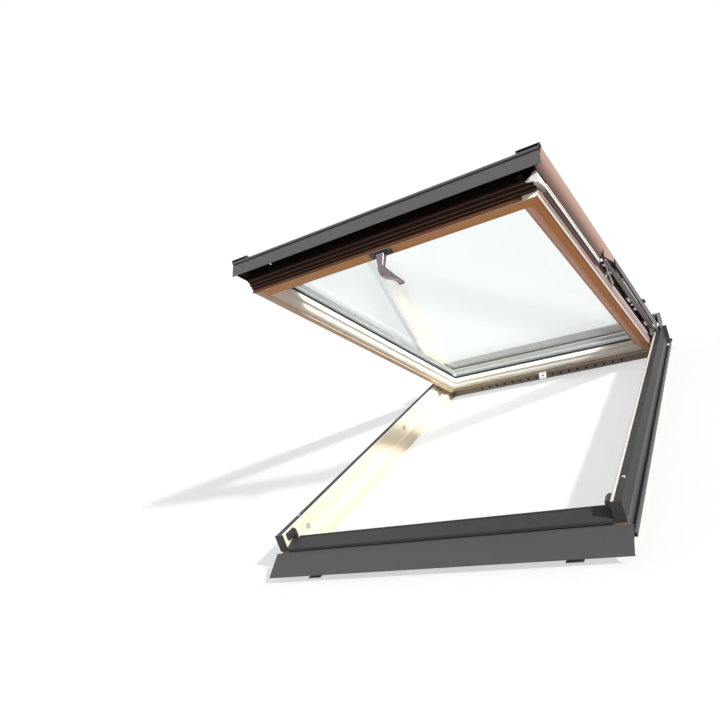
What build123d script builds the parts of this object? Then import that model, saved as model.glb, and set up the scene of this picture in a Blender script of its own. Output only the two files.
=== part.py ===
from build123d import *
import os
from math import cos, radians, sin

os.makedirs("parts", exist_ok=True)

# Overall sizes in millimetres: X along the eave, Y up the slope, Z out of the roof
frame_width = 940
frame_height = 1400
frame_depth = 107
sheet = 1.0
bend = 0.9
front_bend = 0.8
cover_outer = frame_width / 2
sill_front = -frame_height / 2
head_back = frame_height / 2

# Frame timber
cover_room = 4
jamb_thick = 22
jamb_low_thick = 30
rebate_depth = 59
rebate_slope = 4
jamb_arris = 1
sill_thick = 32
sill_lower = 29
sill_fall = 9
ledge_width = 28
ledge_lower = 14
ledge_chamfer = 4
head_thick = 28
head_chamfer = 2
lining_groove_z = 8
lining_groove_size = 8
lining_groove_depth = 6
jamb_outer = cover_outer - cover_room
jamb_inner = jamb_outer - jamb_thick
jamb_inner_low = jamb_outer - jamb_low_thick
jamb_step_z = frame_depth - rebate_depth
sill_back = sill_front + sill_thick
sill_top_back = frame_depth - sill_lower
sill_top_front = sill_top_back - sill_fall
ledge_back = sill_back + ledge_width
ledge_top = sill_top_back - ledge_lower
head_front = head_back - head_thick

# Frame covers, their caps and the seal strips beside them
cover_rise = 2
cover_lip_in = 15.5
cover_lip = 9
cover_drop = 47
cover_overlap = 2
groove_side = 2.5
groove_depth = 10
cap_gap = 0.2
cap_thick = 2.8
cap_over = 1
cap_height = 50
cap_corner = 1.5
sill_cover_gap = 0.5
sill_cover_rise = 3
sill_cover_lip = 11
sill_cover_lap = 2
drip_out = 7
drip_height = 7.5
drip_return = 1.5
strip_set = 2.2
strip_width = 5.6
strip_thick = 1.5
strip_stop = 47
cover_inner = cover_outer - cover_lip_in
cover_top = frame_depth + cover_rise
cover_low = cover_top - cover_drop
cover_end = head_back + cover_overlap
groove_x = (cover_inner - groove_side, cover_inner + groove_side)
groove_z = frame_depth - groove_depth
sill_cover_half = jamb_inner - sill_cover_gap
sill_cover_top = sill_top_back + sill_cover_rise
sill_drip = sill_front - drip_out

# Corner buffers
buffer_reach = 15
buffer_nose = 12
buffer_slope = 6
buffer_web = 9.5
buffer_length = 34
buffer_lap = 20
buffer_round = 1.5
buffer_set = 15
buffer_over = 1
buffer_side_drop = 24
buffer_nose_drop = 4
buffer_foot_in = 5
buffer_bite = 0.5
buffer_back = ledge_back - buffer_set
buffer_top = frame_depth + buffer_over

# Flashings and hood
gutter_width = 12
gutter_lip = 10
gutter_return = 4
flashing_gap = 0.8
apron_reach = 71
apron_edge_z = 23
apron_top_drop = 12
apron_hem = 5
apron_notch = 40
apron_run = 8
apron_kick = 3
upstand_low = 6
back_gap = 2.5
back_rise = 30
back_run = 60
hood_over = 1
hood_ahead = 29
hood_behind = 12
hood_rise = 67
hood_fall = 18
hood_front_lip = 12
hood_skirt = 9
hood_end_cut = 26
hood_end_set = 12
hood_end_gap = 0.4
hood_end_lift = 0.6
apron_half = cover_outer + gutter_width
apron_edge = sill_front - apron_reach
flashing_x = jamb_outer + flashing_gap
hood_top = frame_depth + hood_rise
hood_back_top = hood_top - hood_fall
hood_back = head_back + hood_behind

# Air inlet in the head
inlet_depth = 8
inlet_gap = 2
inlet_low = 3
inlet_drop = 11
inlet_shelf_z = 42
inlet_wall = 1.5
inlet_holes = 18
inlet_pitch = 35
inlet_hole_r = 5
inlet_hole_z = 14
inlet_slide = 17.5
inlet_knob_z = 33
knob_r = 2.6
knob_slot = 7
knob_width = 22
knob_height = 12
knob_taper = 8
shutter_gap = 0.5
inlet_front = head_front - inlet_depth
inlet_half = jamb_inner_low - inlet_gap
inlet_top = frame_depth - inlet_drop

# Bulb seal on the sill's ledge
gasket_short = 9
gasket_set = 14
gasket_foot = 4
gasket_foot_width = 12
bulb_r = 6
bulb_wall = 2
gasket_half = jamb_inner_low - gasket_short

# Top hinge, opening angle and arms
hinge_down = 113
hinge_rise = 26
open_angle = 34
hinge_plate = 4
hinge_plate_low = 60
hinge_plate_high = 55
hinge_lug_r = 14
hinge_pin_r = 5
hinge_head_r = 8
hinge_head = 3
hinge_clip = 1.1
hinge_clip_gap = 0.4
hinge_clip_less = 0.5
hinge_plate_foot = 10
hinge_plate_shoulder = 17
hinge_plate_neck = 5
hinge_screw_drop = 11
screw_hole_r = 2.6
pin_clearance = 0.05
arm_gap = 4
arm_web = 2.5
arm_half_depth = 19
arm_tail = 150
arm_top = 12
arm_corner = 12
arm_tail_cut = 20
arm_narrow = 13
arm_wide = 8
arm_widen = 22
arm_flange_set = 2
pivot_offset = 21
pivot_pin_r = 8
rivet_r = 11
rivet_thick = 2.5
sash_setback = 19
sash_head_gap = 7
hinge_y = head_back - hinge_down
hinge_z = frame_depth + hinge_rise
sash_free = sill_front + sash_setback - hinge_y
sash_end = inlet_front - sash_head_gap - hinge_y
pivot_y = (sash_free + sash_end) / 2 + pivot_offset
arm_web_in = jamb_inner + arm_gap
arm_web_out = arm_web_in + arm_web
arm_low = pivot_y - arm_tail
arm_flange_low = cover_outer - arm_narrow
arm_flange_high = cover_outer - arm_wide

# Sash, measured from the hinge axis along the sash
sash_gap = 13
sash_top = 10
sash_depth = 73
stile_width = 58
stile_arris = 7
moulding = 31
moulding_step = 5
moulding_cove = 15
moulding_cove_rise = 11
bead_set = 9
bead_width = 6
bead_depth = 3
nose_down = 26
nose_thick = 22
rail_setback = 58
rail_flat = 36
top_rail_width = 49
pane_bearing = 17
pane_side_gap = 2
glass = 4
unit_thick = 24
spacer_inset = 2
spacer_width = 11
rim_thick = 3
sash_half = jamb_inner - sash_gap
sash_face = sash_top - sash_depth
nose_x = sash_half - stile_width
nose_high = sash_top - nose_down
nose_low = nose_high - nose_thick
pane_half = nose_x + pane_bearing
rail_front = sash_free + rail_setback
rail_face = rail_front + rail_flat
nose_bottom = rail_face + moulding
nose_top = sash_end - top_rail_width
rail_face_top = nose_top + moulding
pane_low = nose_bottom - pane_bearing
pane_high = nose_top + pane_bearing
pane_under = sash_top - unit_thick

# Sash claddings
clad_rise = 14
clad_over = 5
clad_lip_gap = 0.2
clad_in = 5
clad_front_in = 8
clad_arm_gap = 2
clad_curl_in = 18.5
clad_curl_mid = (3.5, 20)
clad_curl_start = 6
clad_curl_gap = 3
clad_curl_drop = 6
clad_gap = 3
clad_lap = 12
clad_front_strip = 6
clad_groove = 5
clad_groove_in = 4.5
clad_front_set = 2
clad_hem = 3
clad_side_start = 14
clad_side_in = 3
clad_step = 0.5
clad_cut_length = 117
clad_cut_drop = 16
rib_rise = 8
rib_width = 55
rib_side = 3
rib_end_wall = 2
rib_end_pocket = 10
split_below = 38
split_above = 28
clad_upper_gap = 2
clad_upper_drop = 1
clad_upper_leg = 21
clad_end_over = 3
clad_end_drop = 31
clad_top = sash_top + clad_rise
clad_lip_z = sash_top + rim_thick + clad_lip_gap
clad_inner = nose_x + clad_over
clad_outer = cover_outer - clad_in
clad_front_half = cover_outer - clad_front_in
clad_flange_x = arm_flange_low + clad_arm_gap
clad_flange_z = cover_top + clad_gap - hinge_z
clad_bottom_inner = pane_low + clad_lap
clad_top_inner = pane_high - clad_lap
rib_z = clad_top + rib_rise
rib_in = clad_outer - rib_width
split_low = pivot_y - split_below
split_high = pivot_y - split_above
clad_upper_x = sash_half + clad_upper_gap
clad_upper_z = clad_top - clad_upper_drop

# Covers on the arms
arm_cover_gap = 1.9
arm_cover_in = 5
arm_cover_lip = 6
arm_cover_end = 8
arm_cover_low = -15
arm_cover_start_z = 1
arm_tab_y = -218
arm_tab_length = 32
arm_tab_out = 6
arm_tab_thick = 3
arm_cover_inner = clad_upper_x + arm_cover_gap
arm_cover_outer = cover_outer - arm_cover_in

# Springs, shoes, levers and clips of the arms
spring_gap = 1.2
spring_low = 78
tube_length = 205
tube_r = 4.6
spring_high = 97
rod_r = 2.4
eye_r = 8
eye_width = 9
eye_hole_r = 3
stud_r = 3
stud_head_r = 5
stud_head = 1.2
shoe_thick = 5.6
shoe_length = 34
shoe_span = (6, 16)
shoe_below = 112
shoe_from_hinge = 50
brake_above = 41
brake_length = 45
brake_span = (-13, 14)
lever_thick = 2.4
lever_line = ((-68, 5), (-55, 3), (-34, -11), (-10, -24), (10, -36), (4, -42), (-20, -31), (-45, -17), (-66, -4))
lever_boss = (-58, 0)
lever_boss_r = 5
clip_places = ((-105, 14), (200, 36), (246, 14), (290, 22), (450, 40))
clip_reach = 7
clip_low = -24
clip_high = -14
cover_seat_shares = (0.1, 0.52, 0.93)
cover_seat_length = 20
cover_seat_width = 8

# Weather bar, corner block and seals of the sash
bar_out = 24
bar_step = 8
bar_body = 12
bar_top_drop = 6
bar_lip_high = 36
bar_lip_low = 27
bar_second_low = 19
bar_foot = 13
bar_skin = 1.5
bar_skin_low = 1
bar_short = 39
block_tip = 18
block_lean = 2.25
block_front = 28.5
block_face = 5.3
block_length = 56.5
block_high = -14
block_low = -47
block_tail_low = -33
seal_clearance = 0.6
seal_top = -22
seal_low = -35.5
seal_lip = 2
seal_lip_low = -25.4
seal_start = 85
seal_stop = 150
rubber_thick = 5.5
rubber_set = 2
upper_seal_clearance = 0.4
upper_seal_top = -30
upper_seal_rise = 3
upper_seal_start = 48
upper_seal_stop = 50
trim_thick = 1.5
trim_high = -36
trim_low = -55.5
trim_start = 87
trim_stop = 5
seal_in = jamb_inner - seal_clearance
upper_seal_x = jamb_inner_low - upper_seal_clearance

# Pivot plates, catch and handle
plate_thick = 3
plate_half = 45
plate_high = 14
plate_low = -35.5
plate_corner = 8
plate_hole_x = 34
plate_hole_r = 2.3
plate_notch = 3
catch_width = 28
catch_height = 26
catch_foot = 16
catch_thick = 2
catch_hole_r = 4
handle_set = 72
handle_half = 31
handle_base_width = 26
handle_base_thick = 5
handle_shaft_r = 7
handle_gap = 0.3
handle_root = (28, 20)
handle_neck = (17, 15)
handle_neck_z = 41
handle_depth = 57
lever_length = 105
lever_tip = 7
lever_tip_rise = 14
lever_half = 8
handle_y = sash_free + handle_set


def end_plane(base, y):
    """Section plane across the slope: sketch (x, z), extruded towards the eave."""
    return Plane(base.from_local_coords((0, y, 0)), x_dir=base.x_dir, z_dir=-base.y_dir)


def side_plane(base, x):
    """Section plane along the slope: sketch (y, z), extruded towards +X."""
    return Plane(base.from_local_coords((x, 0, 0)), x_dir=base.y_dir, z_dir=base.x_dir)


def face_plane(base, z):
    """Plane parallel to the base: sketch (x, y), extruded outwards."""
    return Plane(base.from_local_coords((0, 0, z)), x_dir=base.x_dir, z_dir=base.z_dir)


def folded(plane, points, side=Side.RIGHT, thickness=sheet, radius=bend, curl=()):
    """Section of a folded sheet whose outer line runs through the points, then through the curl's two as an arc."""
    with BuildSketch(plane) as section:
        with BuildLine():
            FilletPolyline(*points, radius=radius)
            if curl:
                ThreePointArc(points[-1], *curl)
            offset(amount=thickness, side=side)
        make_face()
    return section.sketch


def outline(plane, points):
    """Closed straight-sided section."""
    with BuildSketch(plane) as section:
        with BuildLine():
            Polyline(*points, close=True)
        make_face()
    return section.sketch


def block(base, xs, ys, zs, mode=Mode.ADD):
    """Straight block between two corners along a base's own axes."""
    extrude(outline(face_plane(base, zs[0]), [
        (xs[0], ys[0]), (xs[1], ys[0]), (xs[1], ys[1]), (xs[0], ys[1]),
    ]), amount=zs[1] - zs[0], mode=mode)


frame_base = Plane.XY
angle = radians(open_angle)
sash_base = Plane(origin=(0, hinge_y, hinge_z), x_dir=(1, 0, 0), z_dir=(0, sin(angle), cos(angle)))
pieces = {}

# Frame jambs: rebated timber with a groove for the cover's lip and one for the lining
jamb_crown = [
    (jamb_outer, frame_depth), (groove_x[1], frame_depth), (groove_x[1], groove_z), (groove_x[0], groove_z),
    (groove_x[0], frame_depth), (jamb_inner + jamb_arris, frame_depth), (jamb_inner, frame_depth - jamb_arris),
]
lining_back = jamb_inner_low + lining_groove_depth
lining_top = lining_groove_z + lining_groove_size
with BuildPart() as frame_jamb_right:
    extrude(outline(end_plane(frame_base, head_front), [
        (jamb_outer, 0), *jamb_crown, (jamb_inner, jamb_step_z), (jamb_inner_low, jamb_step_z - rebate_slope),
        (jamb_inner_low, lining_top), (lining_back, lining_top), (lining_back, lining_groove_z),
        (jamb_inner_low, lining_groove_z), (jamb_inner_low, 0),
    ]), amount=head_front - sill_back)
    extrude(outline(end_plane(frame_base, sill_back), [
        (jamb_outer, sill_top_front), *jamb_crown, (jamb_inner, sill_top_front),
    ]), amount=sill_back - sill_front)
    extrude(outline(side_plane(frame_base, jamb_inner - sheet), [
        (sill_front - sheet, sill_top_front - sheet), (sill_back, sill_top_front - sheet),
        (sill_back, sill_top_back), (sill_front, sill_top_front), (sill_front - sheet, sill_top_front),
    ]), amount=jamb_thick + 2 * sheet, mode=Mode.SUBTRACT)
with BuildPart() as frame_jamb_left:
    mirror(frame_jamb_right.part, about=Plane.YZ)
pieces["frame_jamb_right"] = frame_jamb_right
pieces["frame_jamb_left"] = frame_jamb_left

# Frame head, with the jambs' cover grooves running through
with BuildPart() as frame_head:
    extrude(outline(side_plane(frame_base, -jamb_outer), [
        (head_front, 0), (head_back, 0), (head_back, frame_depth), (head_front, frame_depth),
    ]), amount=2 * jamb_outer)
    chamfer(frame_head.edges().filter_by(Axis.X).group_by(Axis.Z)[-1], length=head_chamfer)
    with BuildSketch(face_plane(frame_base, groove_z)) as head_grooves:
        for sign in (1, -1):
            with Locations((sign * cover_inner, (head_front + head_back) / 2)):
                Rectangle(2 * groove_side, head_thick)
    extrude(amount=groove_depth, mode=Mode.SUBTRACT)
pieces["frame_head"] = frame_head

# Frame sill: sloped top under its cover and a lower ledge between the jambs
with BuildPart() as frame_sill:
    extrude(outline(side_plane(frame_base, -jamb_outer), [
        (sill_front, 0), (sill_back, 0), (sill_back, sill_top_back), (sill_front, sill_top_front),
    ]), amount=2 * jamb_outer)
    extrude(outline(side_plane(frame_base, -jamb_inner_low), [
        (sill_back, 0), (ledge_back, 0), (ledge_back, ledge_top - ledge_chamfer),
        (ledge_back - ledge_chamfer, ledge_top), (sill_back, ledge_top),
    ]), amount=2 * jamb_inner_low)
pieces["frame_sill"] = frame_sill

# Side covers of the frame
with BuildPart() as side_cover_right:
    extrude(folded(end_plane(frame_base, cover_end), [
        (cover_inner, cover_top - cover_lip), (cover_inner, cover_top), (cover_outer, cover_top),
        (cover_outer, cover_low),
    ]), amount=cover_end - sill_front)
with BuildPart() as side_cover_left:
    mirror(side_cover_right.part, about=Plane.YZ)
pieces["side_cover_right"] = side_cover_right
pieces["side_cover_left"] = side_cover_left

# Moulded caps on the lower ends of the covers and jambs
with BuildPart() as cover_caps:
    cap_width = cover_outer + cap_over - jamb_inner
    with BuildSketch(end_plane(frame_base, sill_front - cap_gap)) as cap_face:
        with Locations((jamb_inner + cap_width / 2, cover_top + cap_over - cap_height / 2)):
            RectangleRounded(cap_width, cap_height, cap_corner)
    extrude(amount=cap_thick)
    fillet(cover_caps.edges().filter_by(Axis.Z).group_by(Axis.Y)[0], radius=cap_over)
    mirror(about=Plane.YZ)
pieces["cover_caps"] = cover_caps

# Seal strips on the jambs' inner arrises
with BuildPart() as jamb_seals:
    block(frame_base, (jamb_inner + strip_set, jamb_inner + strip_set + strip_width),
          (sill_front, hinge_y + strip_stop), (frame_depth, frame_depth + strip_thick))
    mirror(about=Plane.YZ)
pieces["jamb_seals"] = jamb_seals

# Sill cover with a down-turned drip edge
with BuildPart() as sill_cover:
    drip_top = cover_low + drip_height
    extrude(folded(side_plane(frame_base, -sill_cover_half), [
        (sill_drip + drip_return, cover_low - drip_return), (sill_drip, cover_low), (sill_drip, drip_top),
        (sill_back + sill_cover_lap, sill_cover_top),
        (sill_back + sill_cover_lap, sill_cover_top - sill_cover_lip),
    ]), amount=2 * sill_cover_half)
pieces["sill_cover"] = sill_cover

# Rubber corner buffers where the sash lands
with BuildPart() as corner_buffers:
    buffer_low = ledge_top + cover_rise
    extrude(outline(end_plane(frame_base, buffer_back), [
        (jamb_inner, buffer_low), (jamb_inner, buffer_top - cover_rise), (jamb_inner - buffer_slope, buffer_top),
        (jamb_inner - buffer_reach + sheet, buffer_top - buffer_slope),
        (jamb_inner - buffer_reach, buffer_top - buffer_side_drop),
        (jamb_inner - buffer_reach + buffer_foot_in, buffer_low),
    ]), amount=buffer_web)
    extrude(outline(end_plane(frame_base, buffer_back - buffer_web + buffer_bite), [
        (jamb_inner, buffer_low + buffer_lap), (jamb_inner, buffer_top - cover_rise),
        (jamb_inner - buffer_slope, buffer_top), (jamb_inner - buffer_nose, buffer_top - buffer_nose_drop),
        (jamb_inner - buffer_nose, buffer_low + buffer_lap + cover_rise),
    ]), amount=buffer_length - buffer_web + buffer_bite)
    fillet(corner_buffers.edges().group_by(Axis.Y)[0], radius=buffer_round)
    mirror(about=Plane.YZ)
pieces["corner_buffers"] = corner_buffers

# Hood over the head with its end plates
with BuildPart() as head_hood:
    hood_front = hinge_y + hood_ahead
    extrude(folded(side_plane(frame_base, -cover_outer - hood_over), [
        (hood_front, hood_top - hood_front_lip), (hood_front, hood_top), (hood_back, hood_back_top),
        (hood_back, cover_top + hood_skirt),
    ]), amount=2 * (cover_outer + hood_over))
pieces["head_hood"] = head_hood
with BuildPart() as hood_ends:
    end_front = hood_front + sheet + hood_end_gap
    end_back = hood_back - sheet - hood_end_gap
    end_drop = 2 * (sheet + hood_end_gap) - hood_end_lift
    extrude(outline(side_plane(frame_base, cover_outer - 2 * sheet), [
        (end_front, cover_top + hood_end_cut), (hood_front + hood_end_set, cover_top), (end_back, cover_top),
        (end_back, hood_back_top - end_drop), (end_front, hood_top - end_drop),
    ]), amount=2 * sheet)
    mirror(about=Plane.YZ)
pieces["hood_ends"] = hood_ends

# Apron flashing under the sill, notched round the caps
with BuildPart() as apron_flashing:
    apron_top = sill_top_front - apron_top_drop
    extrude(folded(side_plane(frame_base, -apron_half), [
        (apron_edge + apron_hem, apron_edge_z - apron_hem), (apron_edge, apron_edge_z),
        (sill_front - apron_run, apron_top), (sill_front - sheet, apron_top + apron_kick),
        (sill_front - sheet, sill_top_front - 2 * sheet),
    ]), amount=2 * apron_half)
    for sign in (1, -1):
        with Locations((sign * (sill_cover_half + apron_half) / 2, sill_front, apron_top + apron_notch / 2)):
            Box(apron_half - sill_cover_half + 2 * sheet, apron_notch, apron_notch, mode=Mode.SUBTRACT)
pieces["apron_flashing"] = apron_flashing

# Side flashings: upstand behind the cover and a narrow gutter
with BuildPart() as side_flashing_right:
    extrude(folded(end_plane(frame_base, head_back + sheet), [
        (flashing_x, frame_depth - upstand_low), (flashing_x, apron_edge_z), (apron_half, apron_edge_z),
        (apron_half, apron_edge_z + gutter_lip),
        (apron_half - gutter_return, apron_edge_z + gutter_lip + 2 * sheet),
    ], side=Side.LEFT), amount=head_back + sheet - sill_front)
with BuildPart() as side_flashing_left:
    mirror(side_flashing_right.part, about=Plane.YZ)
pieces["side_flashing_right"] = side_flashing_right
pieces["side_flashing_left"] = side_flashing_left

# Head flashing behind the frame
with BuildPart() as head_flashing:
    back_y = head_back + back_gap
    extrude(folded(side_plane(frame_base, -apron_half), [
        (back_y, frame_depth - 3 * sheet), (back_y, back_rise), (head_back + back_run, apron_edge_z),
        (head_back + back_run + gutter_lip, apron_edge_z + sheet),
        (head_back + back_run + gutter_lip - gutter_return, apron_edge_z + gutter_lip - 2 * sheet),
    ], side=Side.LEFT), amount=2 * apron_half)
pieces["head_flashing"] = head_flashing

# Bulb seal on the sill ledge
with BuildPart() as sill_gasket:
    gasket_y = ledge_back - gasket_set
    bulb_z = ledge_top + gasket_foot + bulb_r - sheet
    with BuildSketch(side_plane(frame_base, -gasket_half)) as gasket_section:
        with Locations((gasket_y, ledge_top + gasket_foot / 2)):
            Rectangle(gasket_foot_width, gasket_foot)
        with Locations((gasket_y, bulb_z)):
            Circle(bulb_r)
            Circle(bulb_r - bulb_wall, mode=Mode.SUBTRACT)
    extrude(amount=2 * gasket_half)
pieces["sill_gasket"] = sill_gasket

# Air inlet casing in the head, with a row of holes and a slot for the knob
with BuildPart() as air_inlet:
    inlet_skin = inlet_front + inlet_wall
    extrude(outline(side_plane(frame_base, -inlet_half), [
        (head_front, inlet_low), (inlet_front, inlet_low), (inlet_front, inlet_top), (head_front, inlet_top),
        (head_front, inlet_top - inlet_wall), (inlet_skin, inlet_top - inlet_wall), (inlet_skin, inlet_shelf_z),
        (head_front, inlet_shelf_z), (head_front, inlet_shelf_z - inlet_wall),
        (inlet_skin, inlet_shelf_z - inlet_wall), (inlet_skin, inlet_low + inlet_wall),
        (head_front, inlet_low + inlet_wall),
    ]), amount=2 * inlet_half)
    with BuildSketch(end_plane(frame_base, inlet_skin)) as inlet_cuts:
        with Locations((0, inlet_hole_z)):
            with GridLocations(inlet_pitch, 1, inlet_holes, 1):
                Circle(inlet_hole_r)
        with Locations((inlet_slide / 2, inlet_knob_z)):
            SlotOverall(inlet_slide + knob_slot + sheet, knob_slot)
    extrude(amount=inlet_wall, mode=Mode.SUBTRACT)
pieces["air_inlet"] = air_inlet

# Sliding shutter behind the holes, and its knob
shutter_low = inlet_low + inlet_wall + shutter_gap
shutter_high = inlet_shelf_z - inlet_wall - shutter_gap
shutter_front = inlet_skin + shutter_gap
with BuildPart() as inlet_shutter:
    with BuildSketch(end_plane(frame_base, shutter_front + inlet_wall)) as shutter_face:
        with Locations((inlet_slide / 2, (shutter_low + shutter_high) / 2)):
            Rectangle(2 * inlet_half - 3 * inlet_slide, shutter_high - shutter_low)
        with Locations((0, inlet_hole_z)):
            with GridLocations(inlet_pitch, 1, inlet_holes, 1):
                Circle(inlet_hole_r, mode=Mode.SUBTRACT)
    extrude(amount=inlet_wall)
pieces["inlet_shutter"] = inlet_shutter
with BuildPart() as shutter_knob:
    with BuildSketch(end_plane(frame_base, shutter_front)) as knob_stem:
        with Locations((0, inlet_knob_z)):
            Circle(knob_r)
    extrude(amount=shutter_front - inlet_front + 2 * sheet)
    with BuildSketch(end_plane(frame_base, inlet_front - sheet)) as knob_head:
        with Locations((0, inlet_knob_z)):
            RectangleRounded(knob_width, knob_height, knob_height / 4)
    extrude(amount=knob_slot, taper=knob_taper)
pieces["shutter_knob"] = shutter_knob

# Hinge plates on the jambs and the hinge pins
with BuildPart() as hinge_plates:
    plate_foot = jamb_step_z + hinge_plate_foot
    shoulder_z = frame_depth - hinge_plate_shoulder
    neck_z = frame_depth + hinge_plate_neck
    with BuildSketch(side_plane(frame_base, jamb_inner - hinge_plate)) as hinge_plate_face:
        with BuildLine():
            Polyline((hinge_y - hinge_plate_low, plate_foot), (hinge_y + hinge_plate_high, plate_foot),
                     (hinge_y + hinge_plate_high, shoulder_z), (hinge_y + hinge_lug_r, neck_z),
                     (hinge_y + hinge_lug_r, hinge_z), (hinge_y - hinge_lug_r, hinge_z),
                     (hinge_y - hinge_lug_r, neck_z), (hinge_y - hinge_plate_low, shoulder_z),
                     close=True)
        make_face()
        with Locations((hinge_y, hinge_z)):
            Circle(hinge_lug_r)
            Circle(hinge_pin_r, mode=Mode.SUBTRACT)
        with Locations((hinge_y - hinge_plate_low + hinge_lug_r, plate_foot + hinge_lug_r),
                       (hinge_y + hinge_plate_high - hinge_lug_r, plate_foot + hinge_lug_r),
                       (hinge_y, frame_depth - hinge_screw_drop)):
            Circle(screw_hole_r, mode=Mode.SUBTRACT)
    extrude(amount=hinge_plate)
    mirror(about=Plane.YZ)
pieces["hinge_plates"] = hinge_plates
with BuildPart() as hinge_pins:
    clip_x = arm_web_out + hinge_clip_gap
    for x_start, length, radius in (
            (jamb_inner - hinge_plate - hinge_head, hinge_head, hinge_head_r),
            (jamb_inner - hinge_plate, clip_x + hinge_clip - jamb_inner + hinge_plate, hinge_pin_r),
            (clip_x, hinge_clip, hinge_head_r - hinge_clip_less)):
        with BuildSketch(side_plane(frame_base, x_start)) as pin_section:
            with Locations((hinge_y, hinge_z)):
                Circle(radius)
        extrude(amount=length)
    mirror(about=Plane.YZ)
pieces["hinge_pins"] = hinge_pins

# Angle brackets that screw the frame to the roof, hidden under the flashings
bracket_in = 120
bracket_leg = 50
bracket_height = 20
bracket_width = 40
bracket_thick = 2.2
bracket_bend = 3.5
bracket_hole_r = 3.5
bracket_hole_run = 30
bracket_x = frame_width / 2 - bracket_in
with BuildPart() as fixing_brackets:
    with BuildSketch(side_plane(frame_base, bracket_x - bracket_width / 2)) as bracket_section:
        with BuildLine():
            FilletPolyline((head_back, bracket_height), (head_back, 0), (head_back + bracket_leg, 0),
                           radius=bracket_bend)
            offset(amount=bracket_thick, side=Side.LEFT)
        make_face()
    extrude(amount=bracket_width)
    with Locations((bracket_x, head_back + bracket_hole_run, bracket_thick)):
        Hole(bracket_hole_r, depth=bracket_height)
    mirror(about=Plane.YZ)
    mirror(about=Plane.XZ)
pieces["fixing_brackets"] = fixing_brackets

# Round plugs over the jambs' fixing screws
plug_r = 9
plug_out = 1.6
plug_taper = 20
plug_rise = 25
plug_from_sill = 115
plug_from_hinge = 437
plug_z = jamb_step_z + plug_rise
plug_places = (sill_front + plug_from_sill, hinge_y - plug_from_hinge)
with BuildPart() as jamb_plugs:
    with BuildSketch(side_plane(frame_base, jamb_inner - plug_out)) as plug_face:
        with Locations(*[(y, plug_z) for y in plug_places]):
            Circle(plug_r)
    extrude(amount=plug_out, taper=-plug_taper)
    mirror(about=Plane.YZ)
pieces["jamb_plugs"] = jamb_plugs

# Arms: steel channels open to the outside, from the head hinge to below the pivot
with BuildPart() as arm_right:
    with BuildSketch(side_plane(sash_base, arm_web_in)) as arm_face:
        with BuildLine():
            Polyline((arm_low + arm_tail_cut, -arm_half_depth), (arm_top - arm_corner, -arm_half_depth),
                     (arm_top, arm_corner - arm_half_depth), (arm_top, arm_half_depth - arm_corner),
                     (arm_top - arm_corner, arm_half_depth), (arm_low + arm_corner / 2, arm_half_depth),
                     (arm_low, arm_half_depth - arm_corner / 2), (arm_low, sheet), close=True)
        make_face()
        with Locations((0, 0)):
            Circle(hinge_pin_r + pin_clearance, mode=Mode.SUBTRACT)
        with Locations((pivot_y, 0)):
            Circle(pivot_pin_r, mode=Mode.SUBTRACT)
    extrude(amount=arm_web)
    flange_end = arm_top - arm_corner - arm_flange_set
    flange_start = arm_low + arm_tail_cut + arm_flange_set
    for z_edge in (-arm_half_depth, arm_half_depth - arm_web):
        extrude(outline(face_plane(sash_base, z_edge), [
            (arm_web_in + bend, flange_end), (arm_web_in + bend, flange_start),
            (arm_flange_low, flange_start + arm_gap), (arm_flange_low, pivot_y - arm_widen),
            (arm_flange_high, pivot_y - arm_flange_set), (arm_flange_high, flange_end),
        ]), amount=arm_web)
with BuildPart() as arm_left:
    mirror(arm_right.part, about=Plane.YZ)
pieces["arm_right"] = arm_right
pieces["arm_left"] = arm_left

# Covers on the upper half of the arms, with a tab and a lower edge that deepens towards the hinge
with BuildPart() as upper_cover_right:
    extrude(folded(end_plane(sash_base, arm_cover_end), [
        (arm_cover_inner, clad_top - arm_cover_lip), (arm_cover_inner, clad_top), (arm_cover_outer, clad_top),
        (arm_cover_outer - sheet / 2, arm_cover_low),
    ]), amount=arm_cover_end - split_high)
    extrude(outline(side_plane(sash_base, arm_cover_outer - 2 * sheet), [
        (split_high - sheet, arm_cover_start_z), (split_high - sheet, arm_cover_low - sheet),
        (arm_cover_end, arm_cover_low - sheet), (arm_cover_end, arm_cover_low),
    ]), amount=3 * sheet, mode=Mode.SUBTRACT)
    block(sash_base, (arm_cover_outer - 3 * arm_tab_thick, arm_cover_outer + arm_tab_out),
          (arm_tab_y - arm_tab_length / 2, arm_tab_y + arm_tab_length / 2), (clad_top, clad_top + arm_tab_thick))
with BuildPart() as upper_cover_left:
    mirror(upper_cover_right.part, about=Plane.YZ)
pieces["upper_cover_right"] = upper_cover_right
pieces["upper_cover_left"] = upper_cover_left

# Balance springs in the arms: tube, rod and eyes
spring_x = arm_web_out + spring_gap + eye_width / 2
eye_low = pivot_y + spring_low
tube_start = eye_low + eye_r - eye_hole_r
eye_high = -spring_high
rod_start = tube_start + tube_length
rod_length = eye_high - eye_hole_r - rod_start
with BuildPart() as spring_units:
    for y_start, length, radius in ((tube_start, tube_length, tube_r), (rod_start, rod_length, rod_r)):
        with BuildSketch(end_plane(sash_base, y_start + length)) as spring_section:
            with Locations((spring_x, 0)):
                Circle(radius)
        extrude(amount=length)
    with BuildSketch(side_plane(sash_base, spring_x - eye_width / 2)) as spring_eyes:
        with Locations((eye_low, 0), (eye_high, 0)):
            Circle(eye_r)
            Circle(eye_hole_r, mode=Mode.SUBTRACT)
    extrude(amount=eye_width)
    mirror(about=Plane.YZ)
pieces["spring_units"] = spring_units

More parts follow.
